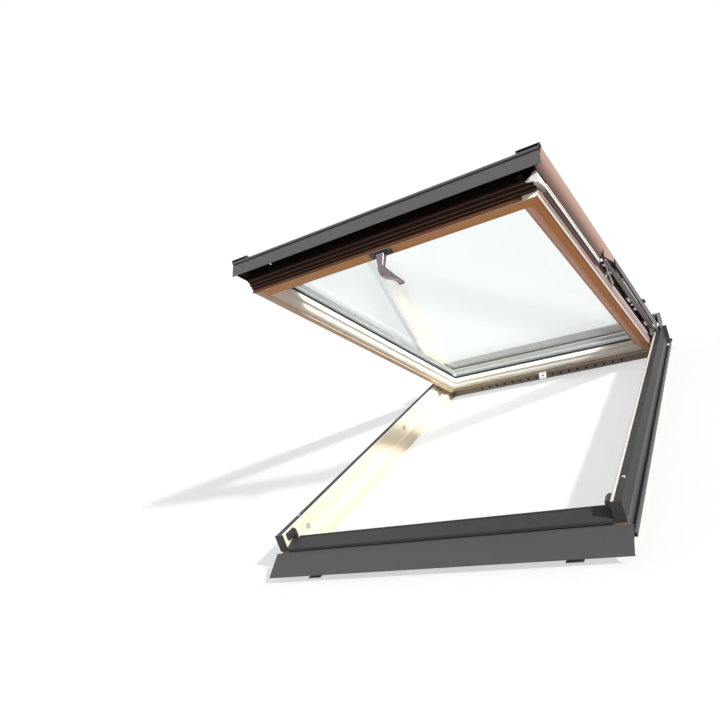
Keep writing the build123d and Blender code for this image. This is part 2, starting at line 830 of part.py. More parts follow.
# Studs that hold the springs' eyes on the arms' webs
with BuildPart() as spring_studs:
    stud_end = spring_x + eye_width / 2
    for x_start, length, radius in ((arm_web_out, stud_end - arm_web_out, stud_r),
                                    (stud_end, stud_head, stud_head_r)):
        with BuildSketch(side_plane(sash_base, x_start)) as stud_section:
            with Locations((eye_low, 0), (eye_high, 0)):
                Circle(radius)
        extrude(amount=length)
    mirror(about=Plane.YZ)
pieces["spring_studs"] = spring_studs

# Plastic guide shoes and brake blocks in the arms
with BuildPart() as slide_shoes:
    for y_mid, length, span in (
            (pivot_y - shoe_below, shoe_length, shoe_span), (-shoe_from_hinge, shoe_length, shoe_span),
            (pivot_y + brake_above, brake_length, brake_span)):
        block(sash_base, (arm_web_out, arm_web_out + shoe_thick), (y_mid - length / 2, y_mid + length / 2), span)
    mirror(about=Plane.YZ)
pieces["slide_shoes"] = slide_shoes

# Bright locking levers on the arms' inner side by the pivot
with BuildPart() as pivot_levers:
    extrude(outline(side_plane(sash_base, seal_in - lever_thick), [(pivot_y + y, z) for y, z in lever_line]),
            amount=lever_thick)
    with BuildSketch(side_plane(sash_base, seal_in - lever_thick)) as lever_pad:
        with Locations((pivot_y + lever_boss[0], lever_boss[1])):
            Circle(lever_boss_r)
    extrude(amount=arm_web_in - seal_in + lever_thick)
    mirror(about=Plane.YZ)
pieces["pivot_levers"] = pivot_levers

# Small clips along the arms' lower inner edge, and clips on top that carry the covers
with BuildPart() as arm_clips:
    for y_rel, length in clip_places:
        block(sash_base, (arm_web_in - clip_reach, arm_web_in),
              (pivot_y + y_rel - length / 2, pivot_y + y_rel + length / 2), (clip_low, clip_high))
    for share in cover_seat_shares:
        seat_y = pivot_y * (1 - share)
        block(sash_base, (arm_web_in, arm_web_in + cover_seat_width),
              (seat_y - cover_seat_length / 2, seat_y + cover_seat_length / 2), (arm_half_depth, clad_top - sheet))
    mirror(about=Plane.YZ)
pieces["arm_clips"] = arm_clips

# Sash pivot pins, riveted into the arms
with BuildPart() as pivot_pins:
    pin_start = sash_half + hinge_clip_gap
    for x_start, length, radius in ((pin_start, arm_web_out - pin_start, pivot_pin_r),
                                    (arm_web_out, rivet_thick, rivet_r)):
        with BuildSketch(side_plane(sash_base, x_start)) as pivot_section:
            with Locations((pivot_y, 0)):
                Circle(radius)
        extrude(amount=length)
    mirror(about=Plane.YZ)
pieces["pivot_pins"] = pivot_pins


def inner_profile(edge, toward, outer):
    """Moulded section (offset, z) from the flat face to the rebate, for a stile or a rail.

    edge is the nose's coordinate, toward is +1 where the timber lies on the larger side, and outer is
    the list of points of the outer side, from the rebate's top round to the flat face.
    """
    at = lambda offset: edge + toward * offset
    with BuildLine() as line:
        Polyline(*outer, (at(moulding), sash_face), (at(moulding), sash_face + moulding_step))
        ThreePointArc((at(moulding), sash_face + moulding_step),
                      (at(moulding_cove), sash_face + moulding_cove_rise), (at(bead_set), nose_low - bead_depth))
        Polyline((at(bead_set), nose_low - bead_depth), (at(bead_width), nose_low - bead_depth),
                 (at(bead_width), nose_low), (edge, nose_low), (edge, nose_high),
                 (at(pane_bearing + pane_side_gap), nose_high), (at(pane_bearing + pane_side_gap), sash_top),
                 outer[0])
    return line


# Sash stiles: run through, with a stepped ovolo moulding and a rebate for the pane
with BuildSketch(end_plane(sash_base, sash_end)) as stile_section:
    add(inner_profile(nose_x, 1, [
        (sash_half, sash_top), (sash_half, sash_face + stile_arris), (sash_half - stile_arris, sash_face),
    ]))
    make_face()
with BuildPart() as sash_stile_right:
    extrude(stile_section.sketch, amount=sash_end - rail_front)
    for y_nose, y_far in ((nose_bottom, rail_front - sheet), (nose_top, sash_end + sheet)):
        y_mitre = y_nose + moulding * (1 if y_far > y_nose else -1)
        extrude(outline(face_plane(sash_base, sash_face - sheet), [
            (nose_x - sheet, y_nose), (nose_x, y_nose), (nose_x + moulding, y_mitre), (nose_x + moulding, y_far),
            (nose_x - sheet, y_far),
        ]), amount=sash_depth + 2 * sheet, mode=Mode.SUBTRACT)
with BuildPart() as sash_stile_left:
    mirror(sash_stile_right.part, about=Plane.YZ)
pieces["sash_stile_right"] = sash_stile_right
pieces["sash_stile_left"] = sash_stile_left


def rail(y_outer, y_nose, direction):
    """Sash rail between the stiles, its moulding mitred into theirs."""
    y_face = y_nose - direction * moulding
    with BuildPart() as body:
        with BuildSketch(side_plane(sash_base, -nose_x - moulding)):
            add(inner_profile(y_nose, -direction, [(y_outer, sash_top), (y_outer, sash_face)]))
            make_face()
        extrude(amount=2 * (nose_x + moulding))
        for sign in (1, -1):
            extrude(outline(face_plane(sash_base, sash_face - sheet), [
                (sign * nose_x, y_nose), (sign * (nose_x + moulding), y_face),
                (sign * (nose_x + moulding + sheet), y_face),
                (sign * (nose_x + moulding + sheet), y_nose + direction),
                (sign * nose_x, y_nose + direction),
            ]), amount=sash_depth + 2 * sheet, mode=Mode.SUBTRACT)
    return body.part


# Sash rails
with BuildPart() as sash_bottom_rail:
    add(rail(rail_front, nose_bottom, 1))
with BuildPart() as sash_top_rail:
    add(rail(sash_end, nose_top, -1))
pieces["sash_bottom_rail"] = sash_bottom_rail
pieces["sash_top_rail"] = sash_top_rail


def plate(z, thickness, half_width, length, hole_half=0, hole_length=0):
    """Flat plate centred on the pane, with a rectangular opening where one is given."""
    with BuildPart() as body:
        with BuildSketch(face_plane(sash_base, z)):
            with Locations((0, (pane_high + pane_low) / 2)):
                Rectangle(2 * half_width, length)
                if hole_half:
                    Rectangle(2 * hole_half, hole_length, mode=Mode.SUBTRACT)
        extrude(amount=thickness)
    return body.part


# Insulating glass: two panes, spacer and seals
pane_length = pane_high - pane_low
spacer_half = pane_half - spacer_inset
spacer_length = pane_length - 2 * spacer_inset
with BuildPart() as outer_pane:
    add(plate(sash_top - glass, glass, pane_half, pane_length))
with BuildPart() as inner_pane:
    add(plate(pane_under, glass, pane_half, pane_length))
with BuildPart() as pane_spacer:
    add(plate(pane_under + glass, unit_thick - 2 * glass, spacer_half, spacer_length,
              spacer_half - spacer_width, spacer_length - 2 * spacer_width))
with BuildPart() as glazing_gasket:
    add(plate(nose_high, pane_under - nose_high, pane_half, pane_length,
              nose_x - spacer_inset, nose_top - nose_bottom - 2 * spacer_inset))
with BuildPart() as rim_gasket:
    add(plate(sash_top, rim_thick, pane_half, pane_length,
              clad_inner - spacer_inset, pane_length - 2 * (clad_lap + spacer_inset)))
pieces["outer_pane"] = outer_pane
pieces["inner_pane"] = inner_pane
pieces["pane_spacer"] = pane_spacer
pieces["glazing_gasket"] = glazing_gasket
pieces["rim_gasket"] = rim_gasket

# Bottom cladding: top sheet, front flange with a groove under its top strip
front = sash_free + clad_front_set
with BuildPart() as cladding_bottom:
    extrude(folded(side_plane(sash_base, -clad_front_half), [
        (front + clad_hem, clad_flange_z + clad_front_set), (front, clad_flange_z),
        (front, clad_top - clad_front_strip - clad_groove),
        (sash_free + clad_groove_in, clad_top - clad_front_strip - clad_hem),
        (sash_free + clad_groove_in, clad_top - clad_front_strip - sheet),
        (sash_free, clad_top - clad_front_strip), (sash_free, clad_top), (clad_bottom_inner, clad_top),
        (clad_bottom_inner, clad_lip_z),
    ], radius=front_bend), amount=2 * clad_front_half)
    for sign in (1, -1):
        extrude(outline(face_plane(sash_base, clad_flange_z - sheet), [
            (sign * cover_outer, sash_free + clad_side_start),
            (sign * (clad_inner - clad_side_in), sash_free + clad_side_start),
            (sign * (clad_inner - clad_side_in), clad_bottom_inner + sheet),
            (sign * cover_outer, clad_bottom_inner + sheet),
        ]), amount=clad_top - clad_flange_z + 2 * sheet, mode=Mode.SUBTRACT)
pieces["cladding_bottom"] = cladding_bottom

# Lower side claddings: raised rib and a flange that curls in, or above the arm stands clear and is cut diagonally
rib_points = [
    (clad_inner, clad_lip_z), (clad_inner, clad_top), (rib_in, clad_top), (rib_in + rib_side, rib_z),
    (clad_outer - rib_side, rib_z), (clad_outer, clad_top),
]
curl_stop = arm_low - clad_curl_gap
with BuildPart() as cladding_right:
    extrude(folded(end_plane(sash_base, split_low), [*rib_points, (clad_flange_x, clad_flange_z)]),
            amount=split_low - curl_stop)
    extrude(outline(side_plane(sash_base, clad_flange_x - clad_hem), [
        (split_low + sheet, clad_top - clad_cut_drop), (split_low - clad_cut_length, clad_flange_z - sheet),
        (split_low + sheet, clad_flange_z - sheet),
    ]), amount=clad_outer - clad_flange_x + 2 * clad_hem, mode=Mode.SUBTRACT)
    extrude(folded(end_plane(sash_base, curl_stop), rib_points, curl=[
        (clad_outer - clad_curl_mid[0], clad_top - clad_curl_mid[1]), (clad_outer - clad_curl_in, clad_flange_z),
    ]), amount=curl_stop - sash_free - clad_curl_start)
    block(sash_base, (clad_inner - sheet, clad_outer - 2 * sheet),
          (sash_free, sash_free + clad_side_start + clad_step), (clad_top - clad_curl_drop, rib_z + sheet), Mode.SUBTRACT)
    block(sash_base, (clad_outer - 3 * sheet, clad_outer + sheet),
          (sash_free, sash_free + clad_side_start + clad_step), (clad_top - sheet, rib_z + sheet), Mode.SUBTRACT)
with BuildPart() as cladding_left:
    mirror(cladding_right.part, about=Plane.YZ)
pieces["cladding_right"] = cladding_right
pieces["cladding_left"] = cladding_left

# Hollow end pieces of the ribs, standing on the bottom cladding's front corners
with BuildPart() as rib_ends:
    block(sash_base, (rib_in - rib_end_wall, clad_outer), (sash_free + sheet, sash_free + clad_side_start),
          (clad_top, rib_z + clad_step))
    block(sash_base, (rib_in + rib_end_wall, clad_outer - 2 * rib_end_wall),
          (sash_free, sash_free + rib_end_pocket), (clad_top + rib_end_wall, rib_z - rib_end_wall / 2),
          Mode.SUBTRACT)
    mirror(about=Plane.YZ)
pieces["rib_ends"] = rib_ends

# Upper side claddings and top cladding on the sash
with BuildPart() as cladding_upper_right:
    extrude(folded(end_plane(sash_base, sash_end + clad_end_over), [
        (clad_inner, clad_lip_z), (clad_inner, clad_upper_z), (clad_upper_x, clad_upper_z),
        (clad_upper_x, clad_upper_z - clad_upper_leg),
    ]), amount=sash_end + clad_end_over - split_high)
    extrude(outline(side_plane(sash_base, clad_upper_x - 3 * sheet), [
        (split_high - sheet, 0), (pivot_y + plate_half + plate_notch, 0),
        (pivot_y + plate_half + plate_notch, plate_high + plate_notch),
        (split_high - sheet, plate_high + plate_notch),
    ]), amount=6 * sheet, mode=Mode.SUBTRACT)
with BuildPart() as cladding_upper_left:
    mirror(cladding_upper_right.part, about=Plane.YZ)
with BuildPart() as cladding_top:
    extrude(folded(side_plane(sash_base, -clad_inner + clad_step), [
        (clad_top_inner, clad_lip_z), (clad_top_inner, clad_upper_z), (sash_end + clad_end_over, clad_upper_z),
        (sash_end + clad_end_over, clad_upper_z - clad_end_drop),
    ]), amount=2 * (clad_inner - clad_step))
pieces["cladding_upper_right"] = cladding_upper_right
pieces["cladding_upper_left"] = cladding_upper_left
pieces["cladding_top"] = cladding_top

# Stepped weather bar in front of the bottom rail, its thin skirt shorter on the right
bar_front = rail_front - bar_out
bar_top = sash_top - bar_top_drop
bar_zs = [sash_face + rise for rise in (bar_lip_high, bar_lip_low, bar_second_low, bar_foot)]
with BuildPart() as weather_bar:
    extrude(outline(side_plane(sash_base, -sash_half), [
        (bar_front + bar_body, bar_top), (bar_front + bar_body, bar_zs[0]), (bar_front, bar_zs[0]),
        (bar_front, bar_zs[1]), (bar_front + bar_step, bar_zs[1]), (bar_front + bar_step, bar_zs[2]),
        (bar_front + 2 * bar_step, bar_zs[2]), (bar_front + 2 * bar_step, bar_zs[3]),
        (rail_front, bar_zs[3]), (rail_front, bar_top),
    ]), amount=2 * sash_half)
    block(sash_base, (-sash_half, sash_half - bar_short), (rail_front - bar_skin, rail_front),
          (sash_face + bar_skin_low, bar_zs[3] + sheet))
pieces["weather_bar"] = weather_bar

# Plastic end block of the right side seal
with BuildPart() as corner_blocks:
    block_y = sash_free + block_front
    extrude(outline(end_plane(sash_base, block_y + block_face), [
        (sash_half - block_tip, seal_low - sheet), (seal_in - block_lean, block_high), (seal_in, block_high),
        (seal_in, block_low), (sash_half + block_face, block_low + sheet), (sash_half, seal_low - block_face),
    ]), amount=block_face)
    extrude(outline(side_plane(sash_base, sash_half), [
        (block_y + block_face, block_low), (block_y + block_face, block_high), (sash_free + seal_start, seal_top),
        (sash_free + seal_start, block_tail_low),
    ]), amount=seal_in - sash_half)
pieces["corner_blocks"] = corner_blocks

# Seal strips along the stiles that land on the frame, with a rubber below
seal_length = pivot_y - seal_stop - sash_free - seal_start
with BuildPart() as side_seals:
    with BuildSketch(end_plane(sash_base, pivot_y - seal_stop)) as seal_section:
        with BuildLine():
            Polyline((sash_half, seal_top), (seal_in + seal_lip, seal_top), (seal_in + seal_lip, seal_lip_low),
                     (seal_in, seal_lip_low), (seal_in, seal_low), (sash_half, seal_low), close=True)
        make_face()
    extrude(amount=seal_length)
    mirror(about=Plane.YZ)
pieces["side_seals"] = side_seals
with BuildPart() as seal_rubbers:
    with BuildSketch(end_plane(sash_base, pivot_y - seal_stop)) as rubber_section:
        with Locations(((sash_half + rubber_set + seal_in) / 2, seal_low - rubber_thick / 2)):
            Rectangle(seal_in - sash_half - rubber_set, rubber_thick)
            fillet(rubber_section.vertices().group_by(Axis.Z)[0], radius=rubber_set)
    extrude(amount=seal_length - rubber_set)
    mirror(about=Plane.YZ)
pieces["seal_rubbers"] = seal_rubbers

# Bright seal strips on the upper half of the stiles
with BuildPart() as upper_seals:
    extrude(outline(end_plane(sash_base, -upper_seal_stop), [
        (sash_half, seal_low), (upper_seal_x, seal_low + upper_seal_rise),
        (upper_seal_x, upper_seal_top), (sash_half, upper_seal_top),
    ]), amount=-upper_seal_stop - pivot_y - upper_seal_start)
    mirror(about=Plane.YZ)
pieces["upper_seals"] = upper_seals

# Thin brown trims on the stiles' outer faces
with BuildPart() as stile_trims:
    block(sash_base, (sash_half, sash_half + trim_thick), (sash_free + trim_start, sash_end - trim_stop),
          (trim_low, trim_high))
    mirror(about=Plane.YZ)
pieces["stile_trims"] = stile_trims

# Pivot plates on the stiles
with BuildPart() as pivot_plates:
    plate_mid = (plate_high + plate_low) / 2
    with BuildSketch(side_plane(sash_base, sash_half)) as pivot_plate_face:
        with Locations((pivot_y, plate_mid)):
            RectangleRounded(2 * plate_half, plate_high - plate_low, plate_corner)
            with GridLocations(2 * plate_hole_x, plate_high - plate_low - 2 * plate_corner, 2, 2):
                Circle(plate_hole_r, mode=Mode.SUBTRACT)
        with Locations((pivot_y, 0)):
            Circle(pivot_pin_r + pin_clearance, mode=Mode.SUBTRACT)
    extrude(amount=plate_thick)
    mirror(about=Plane.YZ)
pieces["pivot_plates"] = pivot_plates

# Catch plate hanging from the top rail
catch_y = (rail_face_top + sash_end) / 2
with BuildPart() as top_catch:
    block(sash_base, (-catch_width / 2 - sheet, catch_width / 2 + sheet),
          (catch_y - catch_foot / 2, catch_y + catch_foot / 2), (sash_face - catch_thick, sash_face))
    with BuildSketch(end_plane(sash_base, catch_y - catch_foot / 2 + catch_thick)) as catch_face:
        with Locations((0, sash_face - sheet - catch_height / 2)):
            RectangleRounded(catch_width, catch_height, catch_hole_r)
            Circle(catch_hole_r, mode=Mode.SUBTRACT)
    extrude(amount=catch_thick)
pieces["top_catch"] = top_catch

# Handle: base plate on the bottom rail, turning lever with a tapering neck
base_z = sash_face - handle_base_thick
with BuildPart() as handle_base:
    with BuildSketch(face_plane(sash_base, base_z)) as base_face:
        with Locations((0, handle_y)):
            RectangleRounded(2 * handle_half, handle_base_width, handle_base_thick)
            Circle(handle_shaft_r + pin_clearance, mode=Mode.SUBTRACT)
    extrude(amount=handle_base_thick)
pieces["handle_base"] = handle_base
with BuildPart() as handle_lever:
    with BuildSketch(face_plane(sash_base, base_z - handle_gap)) as shaft:
        with Locations((0, handle_y)):
            Circle(handle_shaft_r)
    extrude(amount=handle_base_thick)
    with BuildSketch(face_plane(sash_base, base_z - handle_gap)) as root_face:
        with Locations((0, handle_y)):
            RectangleRounded(*handle_root, handle_base_thick)
    with BuildSketch(face_plane(sash_base, sash_face - handle_neck_z)) as neck_face:
        with Locations((0, handle_y)):
            RectangleRounded(*handle_neck, handle_base_thick)
    loft()
    y_back = handle_y - handle_neck[1] / 2
    y_tip = handle_y + lever_length
    z_low = sash_face - handle_depth
    with BuildSketch(side_plane(sash_base, -lever_half)) as lever_side:
        with BuildLine():
            Polyline((y_back, z_low + lever_half), (y_back, sash_face - handle_neck_z),
                     (handle_y + handle_neck[1] / 2, sash_face - handle_neck_z))
            Spline((handle_y + handle_neck[1] / 2, sash_face - handle_neck_z),
                   (handle_y + lever_length / 2, z_low + lever_tip_rise), (y_tip, z_low + lever_tip_rise))
            Line((y_tip, z_low + lever_tip_rise), (y_tip, z_low + lever_tip_rise - lever_tip))
            Spline((y_tip, z_low + lever_tip_rise - lever_tip), (handle_y + lever_length / 2, z_low + 2 * sheet),
                   (handle_y, z_low), (y_back, z_low + lever_half))
        make_face()
    extrude(amount=2 * lever_half)
pieces["handle_lever"] = handle_lever

# Names and export
for name, piece in pieces.items():
    piece.part.label = name
    export_step(piece.part, f"parts/{name}.step")
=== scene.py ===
"""Roof window, open on its top hinge: finishes, fine pieces, light and camera round the part."""
import logging
import math
from dataclasses import dataclass, field, replace
from enum import Enum
from typing import ClassVar

import bpy
import numpy as np
from mathutils import Euler, Matrix, Vector


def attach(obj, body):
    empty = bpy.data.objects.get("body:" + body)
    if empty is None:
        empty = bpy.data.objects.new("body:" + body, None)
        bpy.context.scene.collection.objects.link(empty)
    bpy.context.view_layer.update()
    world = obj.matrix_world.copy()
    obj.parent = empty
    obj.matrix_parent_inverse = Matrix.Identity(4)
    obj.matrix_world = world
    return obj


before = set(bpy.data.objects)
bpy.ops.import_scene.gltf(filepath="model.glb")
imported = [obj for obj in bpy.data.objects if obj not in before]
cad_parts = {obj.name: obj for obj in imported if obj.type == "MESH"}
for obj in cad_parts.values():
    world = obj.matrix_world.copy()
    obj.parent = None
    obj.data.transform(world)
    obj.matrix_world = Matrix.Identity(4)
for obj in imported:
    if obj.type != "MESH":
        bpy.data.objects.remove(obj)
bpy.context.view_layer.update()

log = logging.getLogger("roof_window")

Triple = tuple[float, float, float]

OPEN_ANGLE = math.radians(34)
HINGE = np.array([0.0, 0.587, 0.133])
MIRROR = np.array([-1.0, 1.0, 1.0])
WHITE = (1.0, 1.0, 1.0)


class Grain(Enum):
    """Turn of the coordinates that lays their Y along a timber piece's fibres."""

    ALONG_X = (0.0, 0.0, math.pi / 2)
    ALONG_Y = (0.0, 0.0, 0.0)
    ALONG_SASH = (OPEN_ANGLE, 0.0, 0.0)
    SASH_ACROSS = (OPEN_ANGLE, 0.0, math.pi / 2)


class Axis(Enum):
    """The sash's own axes: across it, along it up the slope and out of its plane."""

    ACROSS = "X"
    ALONG = "Y"
    OUT = "Z"


def rgba(colour: Triple) -> tuple[float, float, float, float]:
    """A colour with full opacity."""
    return (*colour, 1.0)


class Value:
    """A shader socket that takes part in Python arithmetic."""

    def __init__(self, graph: "Graph", socket: bpy.types.NodeSocket) -> None:
        """Wrap an output socket of a graph."""
        self.graph = graph
        self.socket = socket

    def _math(self, operation: str, *values: "Value | float") -> "Value":
        """Add one Math node.

        Args:
            operation: Blender's name of the operation.
            values: its inputs in order.

        Returns:
            The node's result.
        """
        settings = {"operation": operation}
        return self.graph.node("ShaderNodeMath", settings, dict(enumerate(values)))

    def __add__(self, other: "Value | float") -> "Value":
        """Sum."""
        return self._math("ADD", self, other)

    def __radd__(self, other: float) -> "Value":
        """Sum with a number on the left."""
        return self._math("ADD", other, self)

    def __sub__(self, other: "Value | float") -> "Value":
        """Difference."""
        return self._math("SUBTRACT", self, other)

    def __rsub__(self, other: float) -> "Value":
        """Difference with a number on the left."""
        return self._math("SUBTRACT", other, self)

    def __mul__(self, other: "Value | float") -> "Value":
        """Product."""
        return self._math("MULTIPLY", self, other)

    def __rmul__(self, other: float) -> "Value":
        """Product with a number on the left."""
        return self._math("MULTIPLY", other, self)

    def __pow__(self, other: "Value | float") -> "Value":
        """Power."""
        return self._math("POWER", self, other)

    def smooth(self, low: float, high: float) -> "Value":
        """Smooth step from 0 at low to 1 at high."""
        return self.graph.node("ShaderNodeMapRange", {"interpolation_type": "SMOOTHSTEP"},
                               {"Value": self, "From Min": low, "From Max": high})

    def sine(self) -> "Value":
        """Sine."""
        return self._math("SINE", self)

    def size(self) -> "Value":
        """Absolute value."""
        return self._math("ABSOLUTE", self)


class Graph:
    """The node tree of one material or world."""

    # Sockets of the Mix node when it mixes colours.
    MIX_FACTOR: ClassVar[int] = 0
    MIX_COLOURS: ClassVar[tuple[int, int]] = (6, 7)
    MIX_RESULT: ClassVar[int] = 2

    def __init__(self, name: str, kind: bpy.types.bpy_prop_collection | None = None) -> None:
        """Start an empty tree.

        Args:
            name: the owner's name.
            kind: the collection that the owner is made in, materials by default.
        """
        self.owner = (bpy.data.materials if kind is None else kind).new(name)
        self.owner.use_nodes = True
        self.tree = self.owner.node_tree
        self.tree.nodes.clear()

    def node(self, kind: str, settings: dict | None = None, inputs: dict | None = None,
             output: int | str = 0) -> Value:
        """Add a node.

        Args:
            kind: the node's type.
            settings: properties, set before its sockets.
            inputs: values or links by socket name or index.
            output: the socket that is returned.

        Returns:
            The chosen output.
        """
        made = self.tree.nodes.new(kind)
        for key, value in (settings or {}).items():
            setattr(made, key, value)
        for key, value in (inputs or {}).items():
            if isinstance(value, Value):
                self.tree.links.new(value.socket, made.inputs[key])
            else:
                made.inputs[key].default_value = value
        return Value(self, made.outputs[output])

    def place(self, turn: Triple = (0, 0, 0), scale: Triple = (1, 1, 1)) -> Value:
        """Object coordinates, turned and scaled.

        Args:
            turn: rotation in radians.
            scale: factor on each axis after the turn.

        Returns:
            The coordinates.
        """
        coords = self.node("ShaderNodeTexCoord", output="Object")
        turned = self.node("ShaderNodeMapping", {"vector_type": "POINT"},
                           {"Vector": coords, "Rotation": turn})
        return self.node("ShaderNodeVectorMath", {"operation": "MULTIPLY"}, {0: turned, 1: scale})

    def noise(self, at: Value, scale: float, detail: float, roughness: float = 0.5) -> Value:
        """Noise from 0 to 1 at a place."""
        return self.node("ShaderNodeTexNoise", None, {
            "Vector": at, "Scale": scale, "Detail": detail, "Roughness": roughness})

    def mix(self, factor: "Value | float", low: "Value | Triple", high: "Value | Triple") -> Value:
        """Blend two colours.

        Args:
            factor: 0 gives the first and 1 the second.
            low: first colour.
            high: second colour.

        Returns:
            The blended colour.
        """
        colours = (value if isinstance(value, Value) else rgba(value) for value in (low, high))
        inputs = {self.MIX_FACTOR: factor, **dict(zip(self.MIX_COLOURS, colours))}
        return self.node("ShaderNodeMix", {"data_type": "RGBA"}, inputs, self.MIX_RESULT)

    def mix_shaders(self, factor: Value, low: Value, high: Value) -> Value:
        """Blend two shaders: a factor of 0 gives the first and 1 the second."""
        return self.node("ShaderNodeMixShader", None, {0: factor, 1: low, 2: high})

    def bump(self, height: Value, strength: float, distance: float) -> Value:
        """Normal of a height pattern."""
        return self.node("ShaderNodeBump", None, {
            "Height": height, "Strength": strength, "Distance": distance})

    def inside(self, spans: "tuple[Span, ...]") -> Value:
        """One inside all spans and zero outside, with soft ends.

        Args:
            spans: limits along the sash's axes, in metres from the hinge axis.

        Returns:
            The factor.
        """
        coords = self.place((OPEN_ANGLE, 0, 0))
        cos, sin = math.cos(OPEN_ANGLE), math.sin(OPEN_ANGLE)
        starts = {Axis.ALONG: float(HINGE[1] * cos - HINGE[2] * sin),
                  Axis.OUT: float(HINGE[1] * sin + HINGE[2] * cos)}
        factor: Value | float = 1.0
        for span in spans:
            at = self.node("ShaderNodeSeparateXYZ", None, {0: coords}, span.axis.value)
            at = at.size() if span.axis is Axis.ACROSS else at - starts[span.axis]
            factor = factor * at.smooth(span.low - span.soft, span.low + span.soft)
            factor = factor * at.smooth(span.high + span.soft, span.high - span.soft)
        return factor

    def zoned(self, colour: "Value | Triple", zones: "tuple[Zone, ...]",
              tone: "Value | float" = 0.0) -> "Value | Triple":
        """A colour with painted light and shade laid over it in some zones.

        Args:
            colour: colour outside the zones.
            zones: where other colours lie; a later zone covers an earlier one.
            tone: darkens the zones' colours a little, as the grain does.

        Returns:
            The colour, unchanged where there are no zones.
        """
        for zone in zones:
            over = self.mix(tone, zone.colour, tuple(c * zone.darker for c in zone.colour))
            colour = self.mix(self.inside(zone.spans), colour, over)
        return colour

    def surface(self, **sockets: "Value | float | Triple") -> bpy.types.Material:
        """Finish with a Principled surface.

        Args:
            sockets: values by socket name with underscores for spaces.

        Returns:
            The material.
        """
        values = {key.replace("_", " "): rgba(value) if isinstance(value, tuple) else value
                  for key, value in sockets.items()}
        self.end(self.node("ShaderNodeBsdfPrincipled", None, values))
        return self.owner

    def end(self, shader: Value, kind: str = "ShaderNodeOutputMaterial") -> None:
        """Link a shader to the tree's output."""
        out = self.tree.nodes.new(kind)
        self.tree.links.new(shader.socket, out.inputs["Surface"])


@dataclass(frozen=True)
class Span:
    """Limits along one of the sash's axes from the hinge, in metres; across it, from the middle."""

    axis: Axis
    low: float
    high: float
    soft: float = 0.0003


@dataclass(frozen=True)
class Zone:
    """A part of a piece painted with a colour that stands for its light or shade, and the share of
    it left in the darkest grain.
    """

    colour: Triple
    spans: tuple[Span, ...]
    darker: float = 0.86


@dataclass(frozen=True)
class Pine:
    """Clear lacquered pine with growth rings that run along the fibres."""

    RING_STRETCH: ClassVar[Triple] = (1, 0.06, 1)
    RING_NOISE: ClassVar[float] = 9.0
    RINGS: ClassVar[float] = 46.0
    RING_SHARPNESS: ClassVar[float] = 1.6
    RING_SHARE: ClassVar[float] = 0.42
    FIBRE_STRETCH: ClassVar[Triple] = (1, 0.02, 1)
    FIBRE_NOISE: ClassVar[float] = 520.0
    FIBRE_ROUGHNESS: ClassVar[float] = 0.6
    FIBRE_SHARE: ClassVar[float] = 0.22
    PATCH_NOISE: ClassVar[float] = 3.0
    PATCH_SHARE: ClassVar[float] = 0.25
    BUMP: ClassVar[tuple[float, float]] = (0.12, 0.0006)
    COAT_ROUGHNESS: ClassVar[float] = 0.22

    name: str
    grain: Grain
    pale: Triple = (0.80, 0.56, 0.30)
    dark: Triple = (0.58, 0.31, 0.12)
    roughness: float = 0.42
    lacquer: float = 0.10
    gloss: float = 0.35
    zones: tuple[Zone, ...] = ()

    def build(self) -> bpy.types.Material:
        """Rings are a sine of a slow noise across the fibres; fine fibres are a stretched noise.

        Returns:
            The material.
        """
        graph = Graph(self.name)
        at = graph.place(self.grain.value, self.RING_STRETCH)
        slow = graph.noise(at, self.RING_NOISE, detail=2.0)
        rings = ((slow * self.RINGS).sine() * 0.5 + 0.5) ** self.RING_SHARPNESS
        fibres = graph.noise(graph.place(self.grain.value, self.FIBRE_STRETCH), self.FIBRE_NOISE,
                             detail=2.0, roughness=self.FIBRE_ROUGHNESS)
        patches = graph.noise(at, self.PATCH_NOISE, detail=1.0)
        tone = rings * self.RING_SHARE + fibres * self.FIBRE_SHARE + patches * self.PATCH_SHARE
        colour = graph.zoned(graph.mix(tone, self.pale, self.dark), self.zones, tone)
        return graph.surface(Base_Color=colour, Roughness=self.roughness,
                             Normal=graph.bump(fibres, *self.BUMP), Coat_Weight=self.lacquer,
                             Coat_Roughness=self.COAT_ROUGHNESS, Specular_IOR_Level=self.gloss)


@dataclass(frozen=True)
class CoatedSheet:
    """Aluminium sheet with a satin coating and very faint unevenness."""

    FINE_NOISE: ClassVar[float] = 900.0
    SLOW_NOISE: ClassVar[float] = 6.0
    LIGHTER: ClassVar[float] = 1.16
    FINE_ROUGH: ClassVar[float] = 0.08
    SLOW_ROUGH: ClassVar[float] = 0.06
    BUMP: ClassVar[tuple[float, float]] = (0.05, 0.0003)

    name: str
    colour: Triple
    roughness: float = 0.38
    metallic: float = 0.25
    gloss: float = 0.5
    zones: tuple[Zone, ...] = ()

    def build(self) -> bpy.types.Material:
        """A fine grain roughens the coating and a slow noise shades it a little.

        Returns:
            The material.
        """
        graph = Graph(self.name)
        at = graph.place()
        fine = graph.noise(at, self.FINE_NOISE, detail=2.0)
        slow = graph.noise(at, self.SLOW_NOISE, detail=2.0)
        lighter = tuple(min(1.0, c * self.LIGHTER) for c in self.colour)
        colour = graph.zoned(graph.mix(slow, self.colour, lighter), self.zones)
        least = self.roughness - self.FINE_ROUGH / 2
        rough = fine * self.FINE_ROUGH + least + slow * self.SLOW_ROUGH
        return graph.surface(Base_Color=colour, Roughness=rough, Metallic=self.metallic,
                             Specular_IOR_Level=self.gloss, Normal=graph.bump(fine, *self.BUMP))


